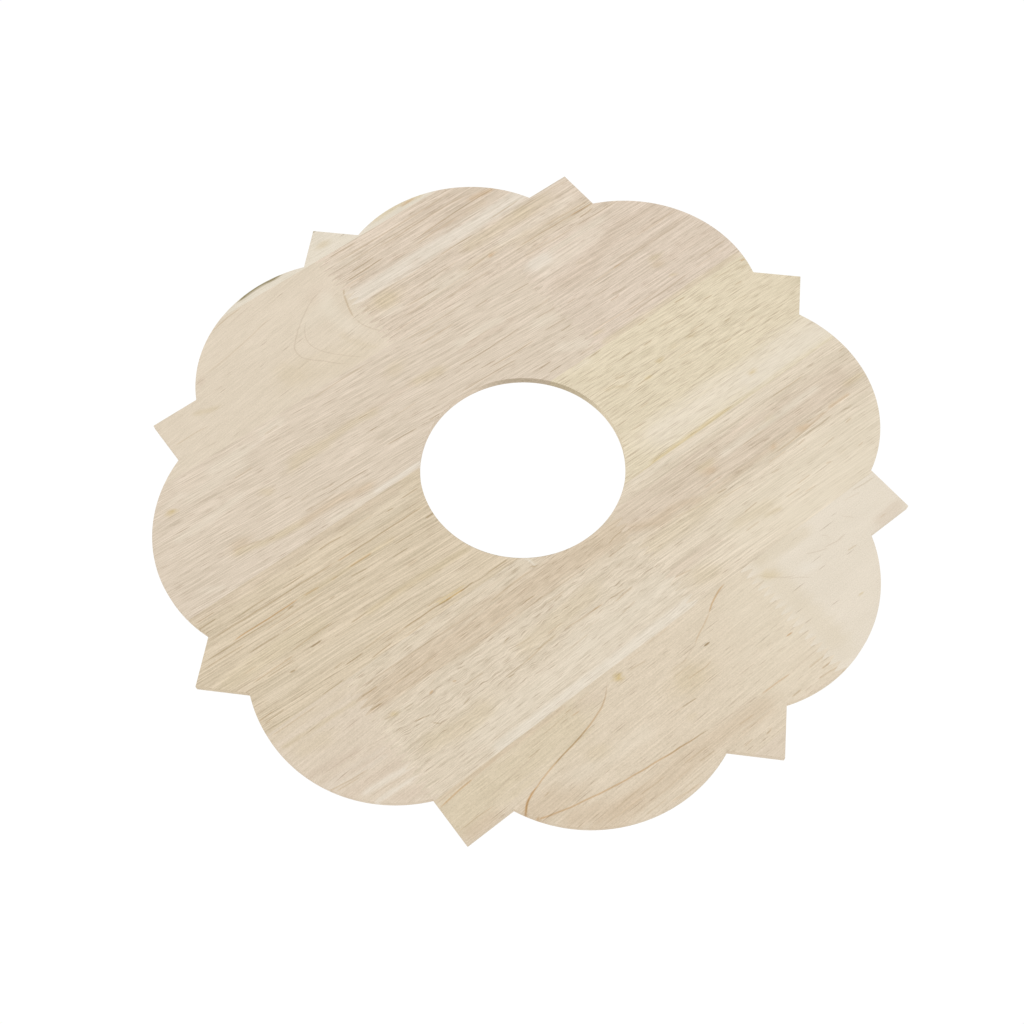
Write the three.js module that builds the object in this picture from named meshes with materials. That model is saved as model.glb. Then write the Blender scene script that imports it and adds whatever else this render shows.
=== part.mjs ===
// A flat ceiling medallion, cut as one piece from a thin glued-up hardwood board.
// Millimetres, +Z up. The origin is the centre of the back face, where it meets the ceiling,
// so the board hangs below z = 0 and its good face looks down.

import * as THREE from "three";

// Driving dimensions
const acrossPoints = 609.6; // from the tip of one point to the tip of the opposite one, 24 in
const acrossLobes = 594.4; // over the crowns of two opposite lobes
const holeDiameter = 165.1; // the hole in the middle, 6 1/2 in
const boardThickness = 6.35; // 1/4 in
const pointCount = 8; // points, with a lobe between each two
const pointHeight = 28.8; // from the notches beside a point to its tip; its corner is square

// How finely the round stretches are cut
const arcDivisions = 16;

const woodLook = {
  color: new THREE.Color().setRGB(0.862, 0.804, 0.719, THREE.SRGBColorSpace),
  roughness: 0.62,
  metalness: 0,
};

// A place in the plane of the board, given by its distance from the middle and its angle.
function polar(radius, angle) {
  return new THREE.Vector2(radius * Math.cos(angle), radius * Math.sin(angle));
}

// The lobe is a round arc through the notches on both sides of it and over its crown.
function lobeArc(notchRadius, notchAngle, lobeAngle) {
  const crownRadius = acrossLobes / 2;
  const halfSpan = lobeAngle - notchAngle;
  const halfChord = notchRadius * Math.sin(halfSpan);
  const rise = crownRadius - notchRadius * Math.cos(halfSpan);
  const radius = (halfChord * halfChord + rise * rise) / (2 * rise);
  return {
    radius,
    centreRadius: crownRadius - radius,
    halfSweep: Math.asin(halfChord / radius),
  };
}

// Points and lobes take turns round the rim.
function rimShape() {
  const tipRadius = acrossPoints / 2;
  const pitch = (2 * Math.PI) / pointCount;
  const notch = new THREE.Vector2(tipRadius - pointHeight, pointHeight);
  const lobe = lobeArc(notch.length(), notch.angle(), pitch / 2);
  const shape = new THREE.Shape();
  shape.moveTo(notch.x, notch.y);
  for (let i = 0; i < pointCount; i += 1) {
    const lobeAxis = (i + 0.5) * pitch;
    const centre = polar(lobe.centreRadius, lobeAxis);
    const start = lobeAxis - lobe.halfSweep;
    const end = lobeAxis + lobe.halfSweep;
    shape.absarc(centre.x, centre.y, lobe.radius, start, end, false);
    const tip = polar(tipRadius, (i + 1) * pitch);
    shape.lineTo(tip.x, tip.y);
  }
  shape.closePath();
  return shape;
}

// The hole is cut in four quarter turns, so that it is as smooth as the lobes.
function holePath() {
  const radius = holeDiameter / 2;
  const quarter = Math.PI / 2;
  const path = new THREE.Path();
  path.moveTo(radius, 0);
  for (let i = 0; i < 4; i += 1) {
    path.absarc(0, 0, radius, -i * quarter, -(i + 1) * quarter, true);
  }
  return path;
}

function makeMedallion() {
  const shape = rimShape();
  shape.holes.push(holePath());
  const geometry = new THREE.ExtrudeGeometry(shape, {
    depth: boardThickness,
    bevelEnabled: false,
    curveSegments: arcDivisions,
  });
  const mesh = new THREE.Mesh(geometry, new THREE.MeshStandardMaterial(woodLook));
  mesh.name = "medallion";
  mesh.position.z = -boardThickness;
  return mesh;
}

const group = new THREE.Group();
group.name = "ceiling_medallion";
group.add(makeMedallion());

export default group;
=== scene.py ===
import math
import bpy
import numpy as np
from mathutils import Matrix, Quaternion, Vector, geometry, noise


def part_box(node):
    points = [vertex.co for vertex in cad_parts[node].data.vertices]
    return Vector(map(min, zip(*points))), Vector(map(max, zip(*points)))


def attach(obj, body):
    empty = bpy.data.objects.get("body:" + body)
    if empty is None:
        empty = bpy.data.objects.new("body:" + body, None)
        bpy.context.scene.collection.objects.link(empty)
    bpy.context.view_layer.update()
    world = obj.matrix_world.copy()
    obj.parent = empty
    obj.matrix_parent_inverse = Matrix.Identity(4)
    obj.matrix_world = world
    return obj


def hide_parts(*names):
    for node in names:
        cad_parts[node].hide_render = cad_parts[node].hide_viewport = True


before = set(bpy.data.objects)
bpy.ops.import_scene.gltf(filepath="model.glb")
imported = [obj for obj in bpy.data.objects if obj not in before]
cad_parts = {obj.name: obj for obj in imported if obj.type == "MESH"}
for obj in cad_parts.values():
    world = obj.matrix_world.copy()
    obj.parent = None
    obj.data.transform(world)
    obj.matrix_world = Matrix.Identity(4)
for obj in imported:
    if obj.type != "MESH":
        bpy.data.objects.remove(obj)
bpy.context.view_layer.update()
print("frame loaded")

# The medallion lies flat under the ceiling: its good face looks down, its back is at z = 0.
# Everything about the wood is laid out in millimetres on the board it was cut from:
# u runs along the grain, w across the staves, and z up through the thickness.
mm = 0.001
boardTurn = math.radians(135)  # from the part's x axis to the grain

medallionLow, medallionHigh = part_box("medallion")
rim = {
    "acrossPoints": (medallionHigh[0] - medallionLow[0]) / mm,
    "thickness": (medallionHigh[2] - medallionLow[2]) / mm,
    "acrossLobes": 594.4,
    "pointHeight": 28.8,  # from the notches beside a point to its square corner
    "holeDiameter": 165.1,
    "points": 8,
    "step": 1.5,  # between the vertices along the rim
    "easing": 0.42,  # radius of the sanded arris
    "easingSteps": 3,
    "wallSteps": 3,
    "fullWithin": 250.0,  # the notches lie further out than this
    "pointFoot": 5.0,  # how far a point's side is followed into the lobe beside it
    "sharpAngle": 35.0,
}

# The panel is glued up from staves of one width, finger-jointed end to end.
panel = {
    "staveWidth": 112.7,
    "firstSeam": -274.2,
    "seams": 6,
    "fingerPitch": 6.35,
    "fingerLength": 9.0,
    "fingerTip": 0.7,
    "beyond": 400.0,  # the seams are drawn past the rim
    "waviness": 0.02,  # the planed face is not dead flat
    "waveAlong": 90.0,
    "waveAcross": 16.0,
    "backFade": 0.35,  # how far the back's tints draw together
    # painted shade on the hole's wall, darker on two opposite sides, partly also the duller end grain there
    "holeShadeAndEndGrain": (0.85, 0.84, 0.81),
    "shadedSide": 140.0,  # degrees from the grain; the other shaded side is opposite
    "shadedFrom": 0.75,
    "shadedOver": 0.2,
}

# The faces are nets of triangles, the back's coarser. Each place in a net strays a little, by chance.
netting = {
    "squeeze": 2.4,
    "front": (4.6, 1.9),  # steps along and across the grain
    "back": (14.0, 7.0),
    "stray": 0.2,
    "seed": 5,
    "margin": 1.3,  # from the rim to the nearest place
    "strokeMargin": 1.0,
}

# One entry for each stave. tint is its colour in daylight, 0 to 255; pith is where the heart of the
# tree ran, across from the stave's middle, above its face, and its rise per metre along the grain.
# slope is how many degrees the fibres lean across the stave, dashes how short they are cut, 0 to 1,
# and rings, fibres and pores say how strongly each shows.
staves = {
    "topSliver": {"row": 0, "start": -400, "end": 400, "tint": (228, 218, 201),
                  "pith": (-60, 60, 0.1), "slope": 0.0, "dashes": 0.4,
                  "rings": 0.2, "fibres": 0.5, "pores": 0.06},
    "cathedral": {"row": 1, "start": -400, "end": -14, "tint": (223, 209, 189),
                  "pith": (8, 10, -0.35), "slope": -8.0, "dashes": 0.5,
                  "rings": 0.5, "fibres": 0.5, "pores": 0.02},
    "rosyTop": {"row": 1, "start": -14, "end": 400, "tint": (219, 203, 184),
                "pith": (-80, 30, 0.02), "slope": 0.0, "dashes": 0.15,
                "rings": 1.0, "fibres": 1.15, "pores": 0.25},
    "rosyLong": {"row": 2, "start": -400, "end": 119, "tint": (219, 204, 185),
                 "pith": (10, 20, 0.12), "slope": 3.0, "dashes": 0.3,
                 "rings": 0.5, "fibres": 1.15, "pores": 0.15},
    "rosyShort": {"row": 2, "start": 119, "end": 400, "tint": (219, 203, 185),
                  "pith": (60, 30, 0.05), "slope": 0.0, "dashes": 0.3,
                  "rings": 0.9, "fibres": 1.2, "pores": 0.2},
    "olive": {"row": 3, "start": -400, "end": 0, "tint": (214, 198, 173),
              "pith": (120, 20, 0.01), "slope": 2.8, "dashes": 0.15,
              "rings": 1.0, "fibres": 1.05, "pores": 0.22},
    "straw": {"row": 3, "start": 0, "end": 400, "tint": (226, 213, 187),
              "pith": (-10, 140, 0.02), "slope": 1.0, "dashes": 0.5,
              "rings": 0.3, "fibres": 0.9, "pores": 0.8},
    "paleEnd": {"row": 4, "start": -400, "end": -214, "tint": (220, 205, 185),
                "pith": (60, 40, -0.08), "slope": -3.0, "dashes": 0.35,
                "rings": 0.8, "fibres": 0.55, "pores": 0.06},
    "mottled": {"row": 4, "start": -214, "end": 28, "tint": (220, 206, 185),
                "pith": (-50, 60, 0.05), "slope": -1.0, "dashes": 0.6,
                "rings": 0.4, "fibres": 1.0, "pores": 0.45},
    "mauve": {"row": 4, "start": 28, "end": 400, "tint": (222, 208, 187),
              "pith": (-70, 60, 0.03), "slope": 1.5, "dashes": 0.3,
              "rings": 0.6, "fibres": 1.1, "pores": 0.15},
    "ringLine": {"row": 5, "start": -400, "end": 78, "tint": (220, 205, 183),
                 "pith": (0, 30, 0.1), "slope": -1.0, "dashes": 0.45,
                 "rings": 0.4, "fibres": 0.7, "pores": 0.07},
    "creamEnd": {"row": 5, "start": 78, "end": 400, "tint": (229, 218, 201),
                 "pith": (0, 20, 0.2), "slope": 0.0, "dashes": 0.5,
                 "rings": 0.5, "fibres": 0.15, "pores": 0.01},
    "bottomTip": {"row": 6, "start": -400, "end": 400, "tint": (221, 206, 186),
                  "pith": (60, 60, 0.1), "slope": 0.0, "dashes": 0.3,
                  "rings": 0.6, "fibres": 0.45, "pores": 0.1},
}
for seed, stave in enumerate(staves.values()):
    stave["seed"] = 3.7 + 11.3 * seed


def seamOf(row):
    return panel["firstSeam"] + (row - 1) * panel["staveWidth"]


def fingerEdge(start, w):  # where a finger joint runs at w, as a zigzag with blunt tips
    phase = (w / panel["fingerPitch"]) % 1.0
    ramp = 1 - abs(2 * phase - 1)
    blunt = panel["fingerTip"] / panel["fingerPitch"]
    ramp = np.clip((ramp - blunt) / (1 - 2 * blunt), 0, 1)
    return start + panel["fingerLength"] * (ramp - 0.5)


def staveAt(u, w):  # the index of the stave under each point
    row = np.clip(np.floor((w - panel["firstSeam"]) / panel["staveWidth"]) + 1, 0, panel["seams"])
    found = np.zeros(len(u), int)
    for index, stave in enumerate(staves.values()):
        startEdge = fingerEdge(stave["start"], w)
        endEdge = fingerEdge(stave["end"], w)
        found[(row == stave["row"]) & (u >= startEdge) & (u < endEdge)] = index
    return found


# Small helpers for building node trees
def addNode(tree, kind, inputs=None, **settings):
    node = tree.nodes.new(kind)
    for key, value in settings.items():
        setattr(node, key, value)
    for key, value in (inputs or {}).items():
        connect(tree, value, node.inputs[key])
    return node


def connect(tree, value, socket):
    if isinstance(value, bpy.types.NodeSocket):
        tree.links.new(value, socket)
    else:
        socket.default_value = value


def maths(tree, operation, *values, clamp=False):
    node = addNode(tree, "ShaderNodeMath", operation=operation, use_clamp=clamp)
    for socket, value in zip(node.inputs, values):
        connect(tree, value, socket)
    return node.outputs[0]


def vectorMaths(tree, operation, *values):
    node = addNode(tree, "ShaderNodeVectorMath", operation=operation)
    for socket, value in zip(node.inputs, values):
        connect(tree, value, socket)
    return node.outputs["Value"] if operation in ("DOT_PRODUCT", "LENGTH") else node.outputs["Vector"]


# The rim's outline: square-cornered points with round lobes between them.
def lobeShape():  # how far out a lobe is centred, its radius, and half the angle it sweeps
    notchX = rim["acrossPoints"] / 2 - rim["pointHeight"]
    notchRadius = math.hypot(notchX, rim["pointHeight"])
    halfSpan = math.pi / rim["points"] - math.atan2(rim["pointHeight"], notchX)
    halfChord = notchRadius * math.sin(halfSpan)
    rise = rim["acrossLobes"] / 2 - notchRadius * math.cos(halfSpan)
    radius = (halfChord**2 + rise**2) / (2 * rise)
    return rim["acrossLobes"] / 2 - radius, radius, math.asin(halfChord / radius)


def makeRimNodes():
    tree = bpy.data.node_groups.new("scallopedRim", "GeometryNodeTree")
    for name in ("Across Points", "Point Height", "Lobe Centre", "Lobe Radius", "Lobe Sweep"):
        tree.interface.new_socket(name, in_out="INPUT", socket_type="NodeSocketFloat")
    for name in ("Points", "Side Steps", "Arc Steps"):
        tree.interface.new_socket(name, in_out="INPUT", socket_type="NodeSocketInt")
    tree.interface.new_socket("Outline", in_out="OUTPUT", socket_type="NodeSocketGeometry")
    given = tree.nodes.new("NodeGroupInput").outputs

    # every vertex knows its turn round the rim and its place k in that turn
    pitch = maths(tree, "DIVIDE", 2 * math.pi, given["Points"])
    sides = maths(tree, "MULTIPLY", given["Side Steps"], 2.0)
    steps = maths(tree, "ADD", sides, given["Arc Steps"])
    index = addNode(tree, "GeometryNodeInputIndex").outputs[0]
    turn = maths(tree, "FLOOR", maths(tree, "DIVIDE", index, steps))
    k = maths(tree, "SUBTRACT", index, maths(tree, "MULTIPLY", turn, steps))

    # a point: two straight sides that meet square at its tip
    aside = maths(tree, "SUBTRACT", maths(tree, "DIVIDE", k, given["Side Steps"]), 1.0)
    drop = maths(tree, "MULTIPLY", maths(tree, "ABSOLUTE", aside), given["Point Height"])
    sideX = maths(tree, "SUBTRACT", maths(tree, "MULTIPLY", given["Across Points"], 0.5), drop)
    sideY = maths(tree, "MULTIPLY", aside, given["Point Height"])
    side = addNode(tree, "ShaderNodeCombineXYZ", {0: sideX, 1: sideY}).outputs[0]

    # a lobe: an arc from notch to notch, half a pitch further on
    share = maths(tree, "DIVIDE", maths(tree, "SUBTRACT", k, sides), given["Arc Steps"])
    angle = maths(tree, "MULTIPLY", maths(tree, "MULTIPLY_ADD", share, 2.0, -1.0), given["Lobe Sweep"])
    cosine = maths(tree, "COSINE", angle)
    arcX = maths(tree, "MULTIPLY_ADD", cosine, given["Lobe Radius"], given["Lobe Centre"])
    arcY = maths(tree, "MULTIPLY", maths(tree, "SINE", angle), given["Lobe Radius"])
    arc = addNode(tree, "ShaderNodeCombineXYZ", {0: arcX, 1: arcY}).outputs[0]

    inLobe = maths(tree, "GREATER_THAN", k, maths(tree, "SUBTRACT", sides, 0.5))
    flat = addNode(tree, "GeometryNodeSwitch", {"Switch": inLobe, "False": side, "True": arc},
                   input_type="VECTOR").outputs[0]
    swung = maths(tree, "MULTIPLY", maths(tree, "MULTIPLY_ADD", inLobe, 0.5, turn), pitch)
    place = addNode(tree, "ShaderNodeVectorRotate", {"Vector": flat, "Angle": swung},
                    rotation_type="Z_AXIS").outputs[0]
    count = maths(tree, "MULTIPLY", steps, given["Points"])
    line = addNode(tree, "GeometryNodeMeshLine", {"Count": count}).outputs[0]
    moved = addNode(tree, "GeometryNodeSetPosition", {"Geometry": line, "Position": place}).outputs[0]
    tree.links.new(moved, tree.nodes.new("NodeGroupOutput").inputs["Outline"])
    return tree


def rimOutline():
    centre, radius, sweep = lobeShape()
    sizes = {
        "Across Points": rim["acrossPoints"],
        "Point Height": rim["pointHeight"],
        "Lobe Centre": centre,
        "Lobe Radius": radius,
        "Lobe Sweep": sweep,
        "Points": rim["points"],
        "Side Steps": round(math.sqrt(2) * rim["pointHeight"] / rim["step"]),
        "Arc Steps": round(2 * sweep * radius / rim["step"]),
    }
    holder = bpy.data.objects.new("rimLine", bpy.data.meshes.new("rimLine"))
    bpy.context.collection.objects.link(holder)
    layer = holder.modifiers.new("rimLine", "NODES")
    layer.node_group = makeRimNodes()
    for socket in layer.node_group.interface.items_tree:
        if socket.in_out == "INPUT":
            layer[socket.identifier] = sizes[socket.name]
    evaluated = holder.evaluated_get(bpy.context.evaluated_depsgraph_get())
    line = bpy.data.meshes.new_from_object(evaluated)
    outline = np.array([vertex.co[:2] for vertex in line.vertices])
    bpy.data.objects.remove(holder)
    bpy.data.meshes.remove(line)
    return outline


def holeOutline():
    radius = rim["holeDiameter"] / 2
    count = round(2 * math.pi * radius / rim["step"])
    angles = -2 * math.pi * np.arange(count) / count
    return np.c_[radius * np.cos(angles), radius * np.sin(angles)]


def outwardNormals(loop):  # mitred, for a loop with the wood on its left
    ahead = np.roll(loop, -1, axis=0) - loop
    ahead /= np.linalg.norm(ahead, axis=1)[:, None]
    behind = np.roll(ahead, 1, axis=0)
    right = np.c_[ahead[:, 1], -ahead[:, 0]]
    rightBehind = np.c_[behind[:, 1], -behind[:, 0]]
    middle = right + rightBehind
    middle /= np.linalg.norm(middle, axis=1)[:, None]
    return middle / np.maximum((middle * right).sum(axis=1), 0.3)[:, None]


# Figure that stands out one line at a time, along with dark slivers at the rim and the painted shadow of a
# chip by the hole.
# Each entry names a colour, then gives its width at the middle, how strongly it covers, and the places it
# runs through.
# Narrow ones are cut into the mesh, wide ones are soft bands. A stroke stops at the glue line of its own
# stave.
strokeColours = {
    "dark": (141, 114, 74),
    "rust": (178, 128, 70),
    "brown": (177, 149, 110),
    "grey": (187, 167, 143),
    "gold": (203, 178, 120),
    "tan": (207, 190, 158),
    "olive": (209, 194, 162),
    "mauve": (208, 190, 170),
    "rosy": (207, 187, 161),
    "pale": (231, 220, 202),
    "white": (236, 228, 215),
    "cream": (230, 218, 197),
    "wane": (128, 116, 80),
}
strokeLook = {
    "narrow": 2.6,  # strokes up to this width are cut into the net
    "narrowStep": 3.0,
    "wander": 0.24,  # how far a line strays, as a share of its width
    "wanderOver": (11, 3),
    "closing": 7,  # a line is at full width after one part in seven of its length
    "thinnest": 0.1,
    "fading": 8,
    "cover": 0.7,  # how strongly a narrow stroke's own strength counts
    "groove": 0.06,  # how deep a full dark or brown line lies in the face
    "wideStep": 6.0,
    "wideSoft": 0.6,  # of a band's width, from full cover to none
    "wideEnds": 1.5,  # a band fades over this many widths at its ends
    "wideEndCover": 0.45,
    "wideStreak": (45.0, 2.6),  # a band is streaky along and across the grain
}
calming = {"pale": 0.5, "white": 0.6, "cream": 0.6}  # how far these smooth the pores away
swirlArea = {"along": (-216, 30), "across": (99, 157), "fade": 8, "farFade": 12}  # fibres cut wavy
strokes = {
    "topSliver": [
        # thin dark slivers along the rim at the top left and at one point's tip
        ("wane", 2.6, 1.0, (-97, -278.8), (-83, -281.3), (-69.5, -282.2), (-57, -281.5), (-46, -279.8)),
        ("wane", 2.4, 0.4, (-92, -278.6), (-83, -280), (-69.5, -280.8), (-57, -280.1), (-50, -279)),
        ("wane", 2.6, 0.8, (-2, -302.8), (0, -302.8), (2, -302.8)),
        ("tan", 6, 0.5, (-8, -286), (4, -286)),
        ("gold", 4, 0.25, (48, -281), (75, -282), (100, -279)),
        ("rust", 3, 0.35, (79, -280), (91, -279)),
    ],
    "cathedral": [
        ("mauve", 14, 0.25, (-48, -246), (-22, -242)),
        ("tan", 24, 0.15, (-100, -184), (-60, -176), (-30, -168)),
        ("pale", 16, 0.35, (-66, -222), (-34, -228)),
        ("brown", 1.4, 0.6, (-130, -266), (-110, -271), (-94, -272.6)),
        ("grey", 1.3, 0.5, (-112, -264.5), (-95, -268), (-84, -270)),
        ("brown", 1.8, 0.3, (-158, -232), (-135, -235.5), (-115, -239.5), (-95, -244.5), (-78, -249.5)),
        ("mauve", 5, 0.5, (-165, -224), (-160, -231)),
        ("brown", 1.3, 0.45, (-215, -188), (-190, -188.3), (-178, -187)),
        ("grey", 1.1, 0.4, (-170, -213), (-148, -214)),
        ("tan", 4, 0.5, (-184, -205), (-175, -201), (-164, -198)),
        ("grey", 1.7, 0.5, (-20, -249), (-33, -245), (-42, -242), (-52, -236), (-60, -230.5),
         (-70, -222), (-77, -215), (-83, -207), (-82.5, -196), (-77, -189), (-70, -182),
         (-62, -173), (-54, -166), (-49, -162)),
        ("grey", 1.4, 0.45, (-57, -228), (-66, -218), (-70, -206), (-67, -194), (-60, -184), (-51, -174),
         (-38, -162)),
        ("brown", 2.4, 0.6, (-11, -239), (-16, -232.5), (-20.5, -222), (-23.5, -211), (-25, -203)),
        ("grey", 1.8, 0.55, (-25, -203), (-23.5, -194), (-20, -186), (-14, -177), (-13, -170)),
        ("tan", 3.4, 0.2, (-43, -200), (-42, -190), (-38, -182), (-32, -173), (-26, -166)),
        ("pale", 12, 0.5, (-28, -243), (-36, -225), (-35, -205), (-28, -190)),
        ("grey", 1.3, 0.2, (-88, -262), (-70, -264.5), (-48, -270)),
        ("grey", 1.2, 0.2, (-110, -255), (-85, -257), (-62, -263)),
        ("tan", 26, 0.22, (-110, -186), (-90, -190)),
        ("grey", 1.2, 0.35, (-205, -172), (-190, -171), (-178, -169)),
    ],
    "rosyTop": [
        ("mauve", 5, 0.45, (-12, -230), (38, -230)),
        ("mauve", 5, 0.5, (50, -229), (178, -228.5)),
        ("rosy", 7, 0.4, (94, -237), (142, -237)),
        ("tan", 6, 0.2, (76, -186.5), (152, -186.5)),
        ("pale", 7, 0.4, (32, -182), (82, -181)),
        ("pale", 12, 0.3, (-14, -262), (14, -257)),
        ("mauve", 9, 0.5, (78, -237), (120, -238)),
        ("mauve", 8, 0.3, (4, -235), (42, -234)),
        ("tan", 12, 0.35, (92, -205), (168, -205)),
        ("mauve", 20, 0.3, (70, -256), (105, -254), (140, -250)),
        ("dark", 1.5, 0.7, (-8, -270.5), (5, -270.5), (24, -270.3)),
        ("brown", 1.5, 0.55, (-12, -262), (30, -262.5), (66, -263.2), (100, -264), (128, -266)),
        ("brown", 1.3, 0.45, (-13, -254), (20, -255.5), (48, -257), (90, -256)),
        ("brown", 1.6, 0.6, (28, -253), (60, -253.5), (110, -254.5), (140, -253)),
        ("dark", 1.6, 0.2, (-6, -244), (10, -247.5), (30, -250), (55, -251), (70, -250)),
        ("dark", 1.5, 0.75, (0, -245.5), (27, -246.5)),
        ("dark", 1.6, 0.3, (-14, -241), (0, -242.5), (30, -244)),
        ("dark", 1.9, 0.7, (-10, -239.5), (10, -240), (34, -241.5)),
        ("dark", 1.9, 0.6, (64, -240), (85, -242), (110, -243.3), (135, -244.5), (160, -244)),
        ("brown", 1.5, 0.55, (60, -235.5), (85, -237), (112, -237)),
        ("brown", 1.4, 0.5, (-12, -235), (12, -236)),
        ("grey", 1.2, 0.5, (20, -234), (50, -233), (90, -231), (112, -229.5)),
        ("rust", 4, 0.2, (130, -247), (156, -245)),
        ("white", 16, 0.6, (-60, -220.5), (60, -222), (100, -223), (230, -224)),
        ("mauve", 5, 0.3, (46, -220), (58, -219)),
        ("grey", 1.1, 0.5, (100, -229), (130, -231), (165, -233)),
        ("grey", 1.1, 0.5, (130, -223), (165, -227)),
        ("brown", 1.3, 0.75, (130, -217.5), (150, -218.5), (168, -219.5)),
        ("grey", 1.0, 0.5, (-10, -224.5), (10, -225), (30, -226)),
        ("dark", 1.7, 0.35, (-10, -212), (25, -211.3), (60, -211.3), (80, -213)),
        ("brown", 1.8, 0.6, (70, -212.5), (112, -213)),
        ("brown", 1.6, 0.25, (150, -211), (185, -211), (215, -211)),
        ("tan", 17, 0.6, (-5, -202), (20, -202)),
        ("grey", 1.2, 0.2, (42, -206.5), (70, -206), (95, -204.5)),
        ("grey", 1.2, 0.9, (85, -203.9), (101, -203.9)),
        ("brown", 1.3, 0.35, (30, -197), (50, -196.8), (85, -198)),
        ("pale", 8, 0.4, (-8, -190), (15, -188)),
        ("pale", 10, 0.4, (45, -190), (75, -188)),
        ("brown", 1.4, 0.55, (15, -186), (35, -185), (55, -184)),
        ("dark", 1.5, 0.6, (80, -184), (95, -185.5), (107, -186)),
        ("rust", 3.2, 0.45, (107, -185.4), (112.5, -183.4)),
        ("brown", 1.5, 0.3, (0, -178.5), (30, -178.5), (55, -180), (105, -180.5)),
        ("brown", 1.3, 0.35, (-8, -170), (18, -169.8)),
        ("brown", 1.3, 0.45, (45, -171), (75, -171), (100, -172)),
        ("tan", 14, 0.2, (132, -179), (216, -177)),
        ("tan", 14, 0.3, (150, -204), (190, -205)),
        ("brown", 1.8, 0.6, (128, -177.5), (165, -176.8), (216, -175.5)),
        ("brown", 1.6, 0.55, (163, -182), (190, -180.5), (216, -180)),
        ("rust", 1.8, 0.5, (190, -176.3), (216, -175.3)),
        ("dark", 1.5, 0.8, (194, -169.5), (213, -170.5)),
        ("brown", 1.5, 0.35, (130, -167), (150, -168), (165, -168.5)),
        ("dark", 1.6, 0.4, (184, -164.6), (215, -163.6), (236, -164.8)),
        ("brown", 1.4, 0.5, (126, -165), (185, -164)),
        ("pale", 8, 0.35, (120, -190), (150, -191), (205, -191)),
        ("grey", 1.3, 0.25, (186, -199.5), (215, -200.5)),
    ],
    "rosyLong": [
        ("mauve", 5, 0.5, (24, -118.5), (84, -118.5)),
        ("mauve", 5, 0.45, (-68, -117.5), (-20, -117.5)),
        ("pale", 10, 0.35, (-232, -139), (-172, -140)),
        ("pale", 9, 0.5, (-203, -150), (-165, -149)),
        ("pale", 8, 0.45, (-152, -156), (-128, -155)),
        ("pale", 6, 0.35, (-245, -143), (-228, -146)),
        ("brown", 1.2, 0.5, (-150, -152), (-133, -152.5)),
        ("white", 1.6, 0.6, (-165, -148.6), (-148, -148.6)),
        ("brown", 1.4, 0.5, (-191, -132), (-171, -132)),
        ("gold", 3.4, 0.7, (-247, -137.6), (-243, -135.6)),
        ("pale", 6, 0.4, (-255, -112), (-220, -113), (-190, -116)),
        ("tan", 6, 0.5, (-179, -109), (-171, -103)),
        ("tan", 10, 0.45, (-150, -111), (-138, -116), (-110, -115)),
        ("tan", 7, 0.4, (-110, -116), (-85, -117), (-62, -115)),
        ("rosy", 10, 0.6, (-225, -80), (-209, -79)),
        ("brown", 2.0, 0.45, (-226, -78), (-210, -74.5), (-200, -71)),
        ("tan", 6, 0.6, (-225, -74), (-205, -70.5), (-185, -67), (-165, -65)),
        ("rosy", 7, 0.7, (-168, -65), (-140, -65.5), (-120, -62.5), (-104, -60.5)),
        ("dark", 1.3, 0.7, (-77, -82.5), (-60, -81.3), (-45, -80)),
        ("dark", 1.2, 0.6, (-141, -74.7), (-120, -74.5), (-97, -73)),
        ("dark", 1.1, 0.55, (-141, -80), (-128, -79)),
        ("brown", 1.2, 0.5, (-163, -71.5), (-130, -71)),
        ("dark", 1.1, 0.5, (-160, -82.5), (-148, -83)),
        ("dark", 1.1, 0.5, (-170, -92), (-160, -90)),
        ("dark", 1.1, 0.7, (-81, -117), (-69, -116.5)),
        ("dark", 1.1, 0.7, (-80, -101.5), (-69, -101.5)),
        ("brown", 1.1, 0.45, (-60, -101), (-30, -101)),
        ("dark", 1.1, 0.8, (-36, -80), (-22, -80)),
        ("dark", 1.4, 0.6, (0, -86), (15, -85.8), (40, -84.7), (62, -83)),
        ("dark", 1.4, 0.65, (12, -109), (35, -107), (60, -107), (82, -107.5)),
        ("brown", 1.2, 0.8, (35, -91), (62, -89.5), (85, -90)),
        ("dark", 1.2, 0.5, (28, -95), (45, -93.5)),
        ("brown", 1.6, 0.6, (0, -146), (20, -146), (41, -145.2)),
        ("brown", 1.2, 0.5, (5, -153.8), (26, -154.5)),
        ("brown", 1.2, 0.45, (-12, -157.5), (25, -157), (62, -157.5)),
        ("brown", 1.3, 0.5, (-104, -156.5), (-62, -157.8), (-40, -157.5)),
        ("brown", 1.2, 0.5, (34, -122.5), (61, -122)),
        ("dark", 1.1, 0.7, (62, -148.5), (78, -148)),
        ("tan", 9, 0.45, (-25, -118), (5, -114)),
        ("tan", 12, 0.3, (-35, -138), (-20, -140)),
        ("pale", 7, 0.4, (25, -126), (65, -127), (75, -122)),
        ("white", 4, 0.6, (-108, -52), (-80, -52), (-62, -53)),
        ("pale", 5, 0.5, (-150, -53), (-108, -51.5)),
        ("pale", 5, 0.35, (-262, -64), (-245, -55)),
        ("dark", 1.3, 0.55, (94, -141), (127, -140)),
        ("dark", 1.5, 0.5, (96, -106.5), (119, -105.5)),
        ("dark", 1.3, 0.5, (94, -92), (119, -91)),
        ("dark", 1.3, 0.7, (104, -83), (124, -83.5)),
        ("brown", 1.3, 0.5, (99, -115.5), (124, -115.5)),
        ("dark", 1.3, 0.9, (66, -64.5), (81, -64)),
        ("dark", 1.1, 0.8, (70, -56), (86, -55.5)),
        ("dark", 1.1, 0.5, (102, -54.5), (120, -54.5)),
        ("pale", 9, 0.4, (88, -103), (112, -98)),
        ("pale", 10, 0.4, (92, -72), (120, -58)),
    ],
    "rosyShort": [
        ("mauve", 6, 0.3, (212, -86.5), (284, -86.5)),
        ("white", 13, 0.6, (124, -153), (150, -152)),
        ("pale", 12, 0.3, (128, -143), (165, -145), (203, -146)),
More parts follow.
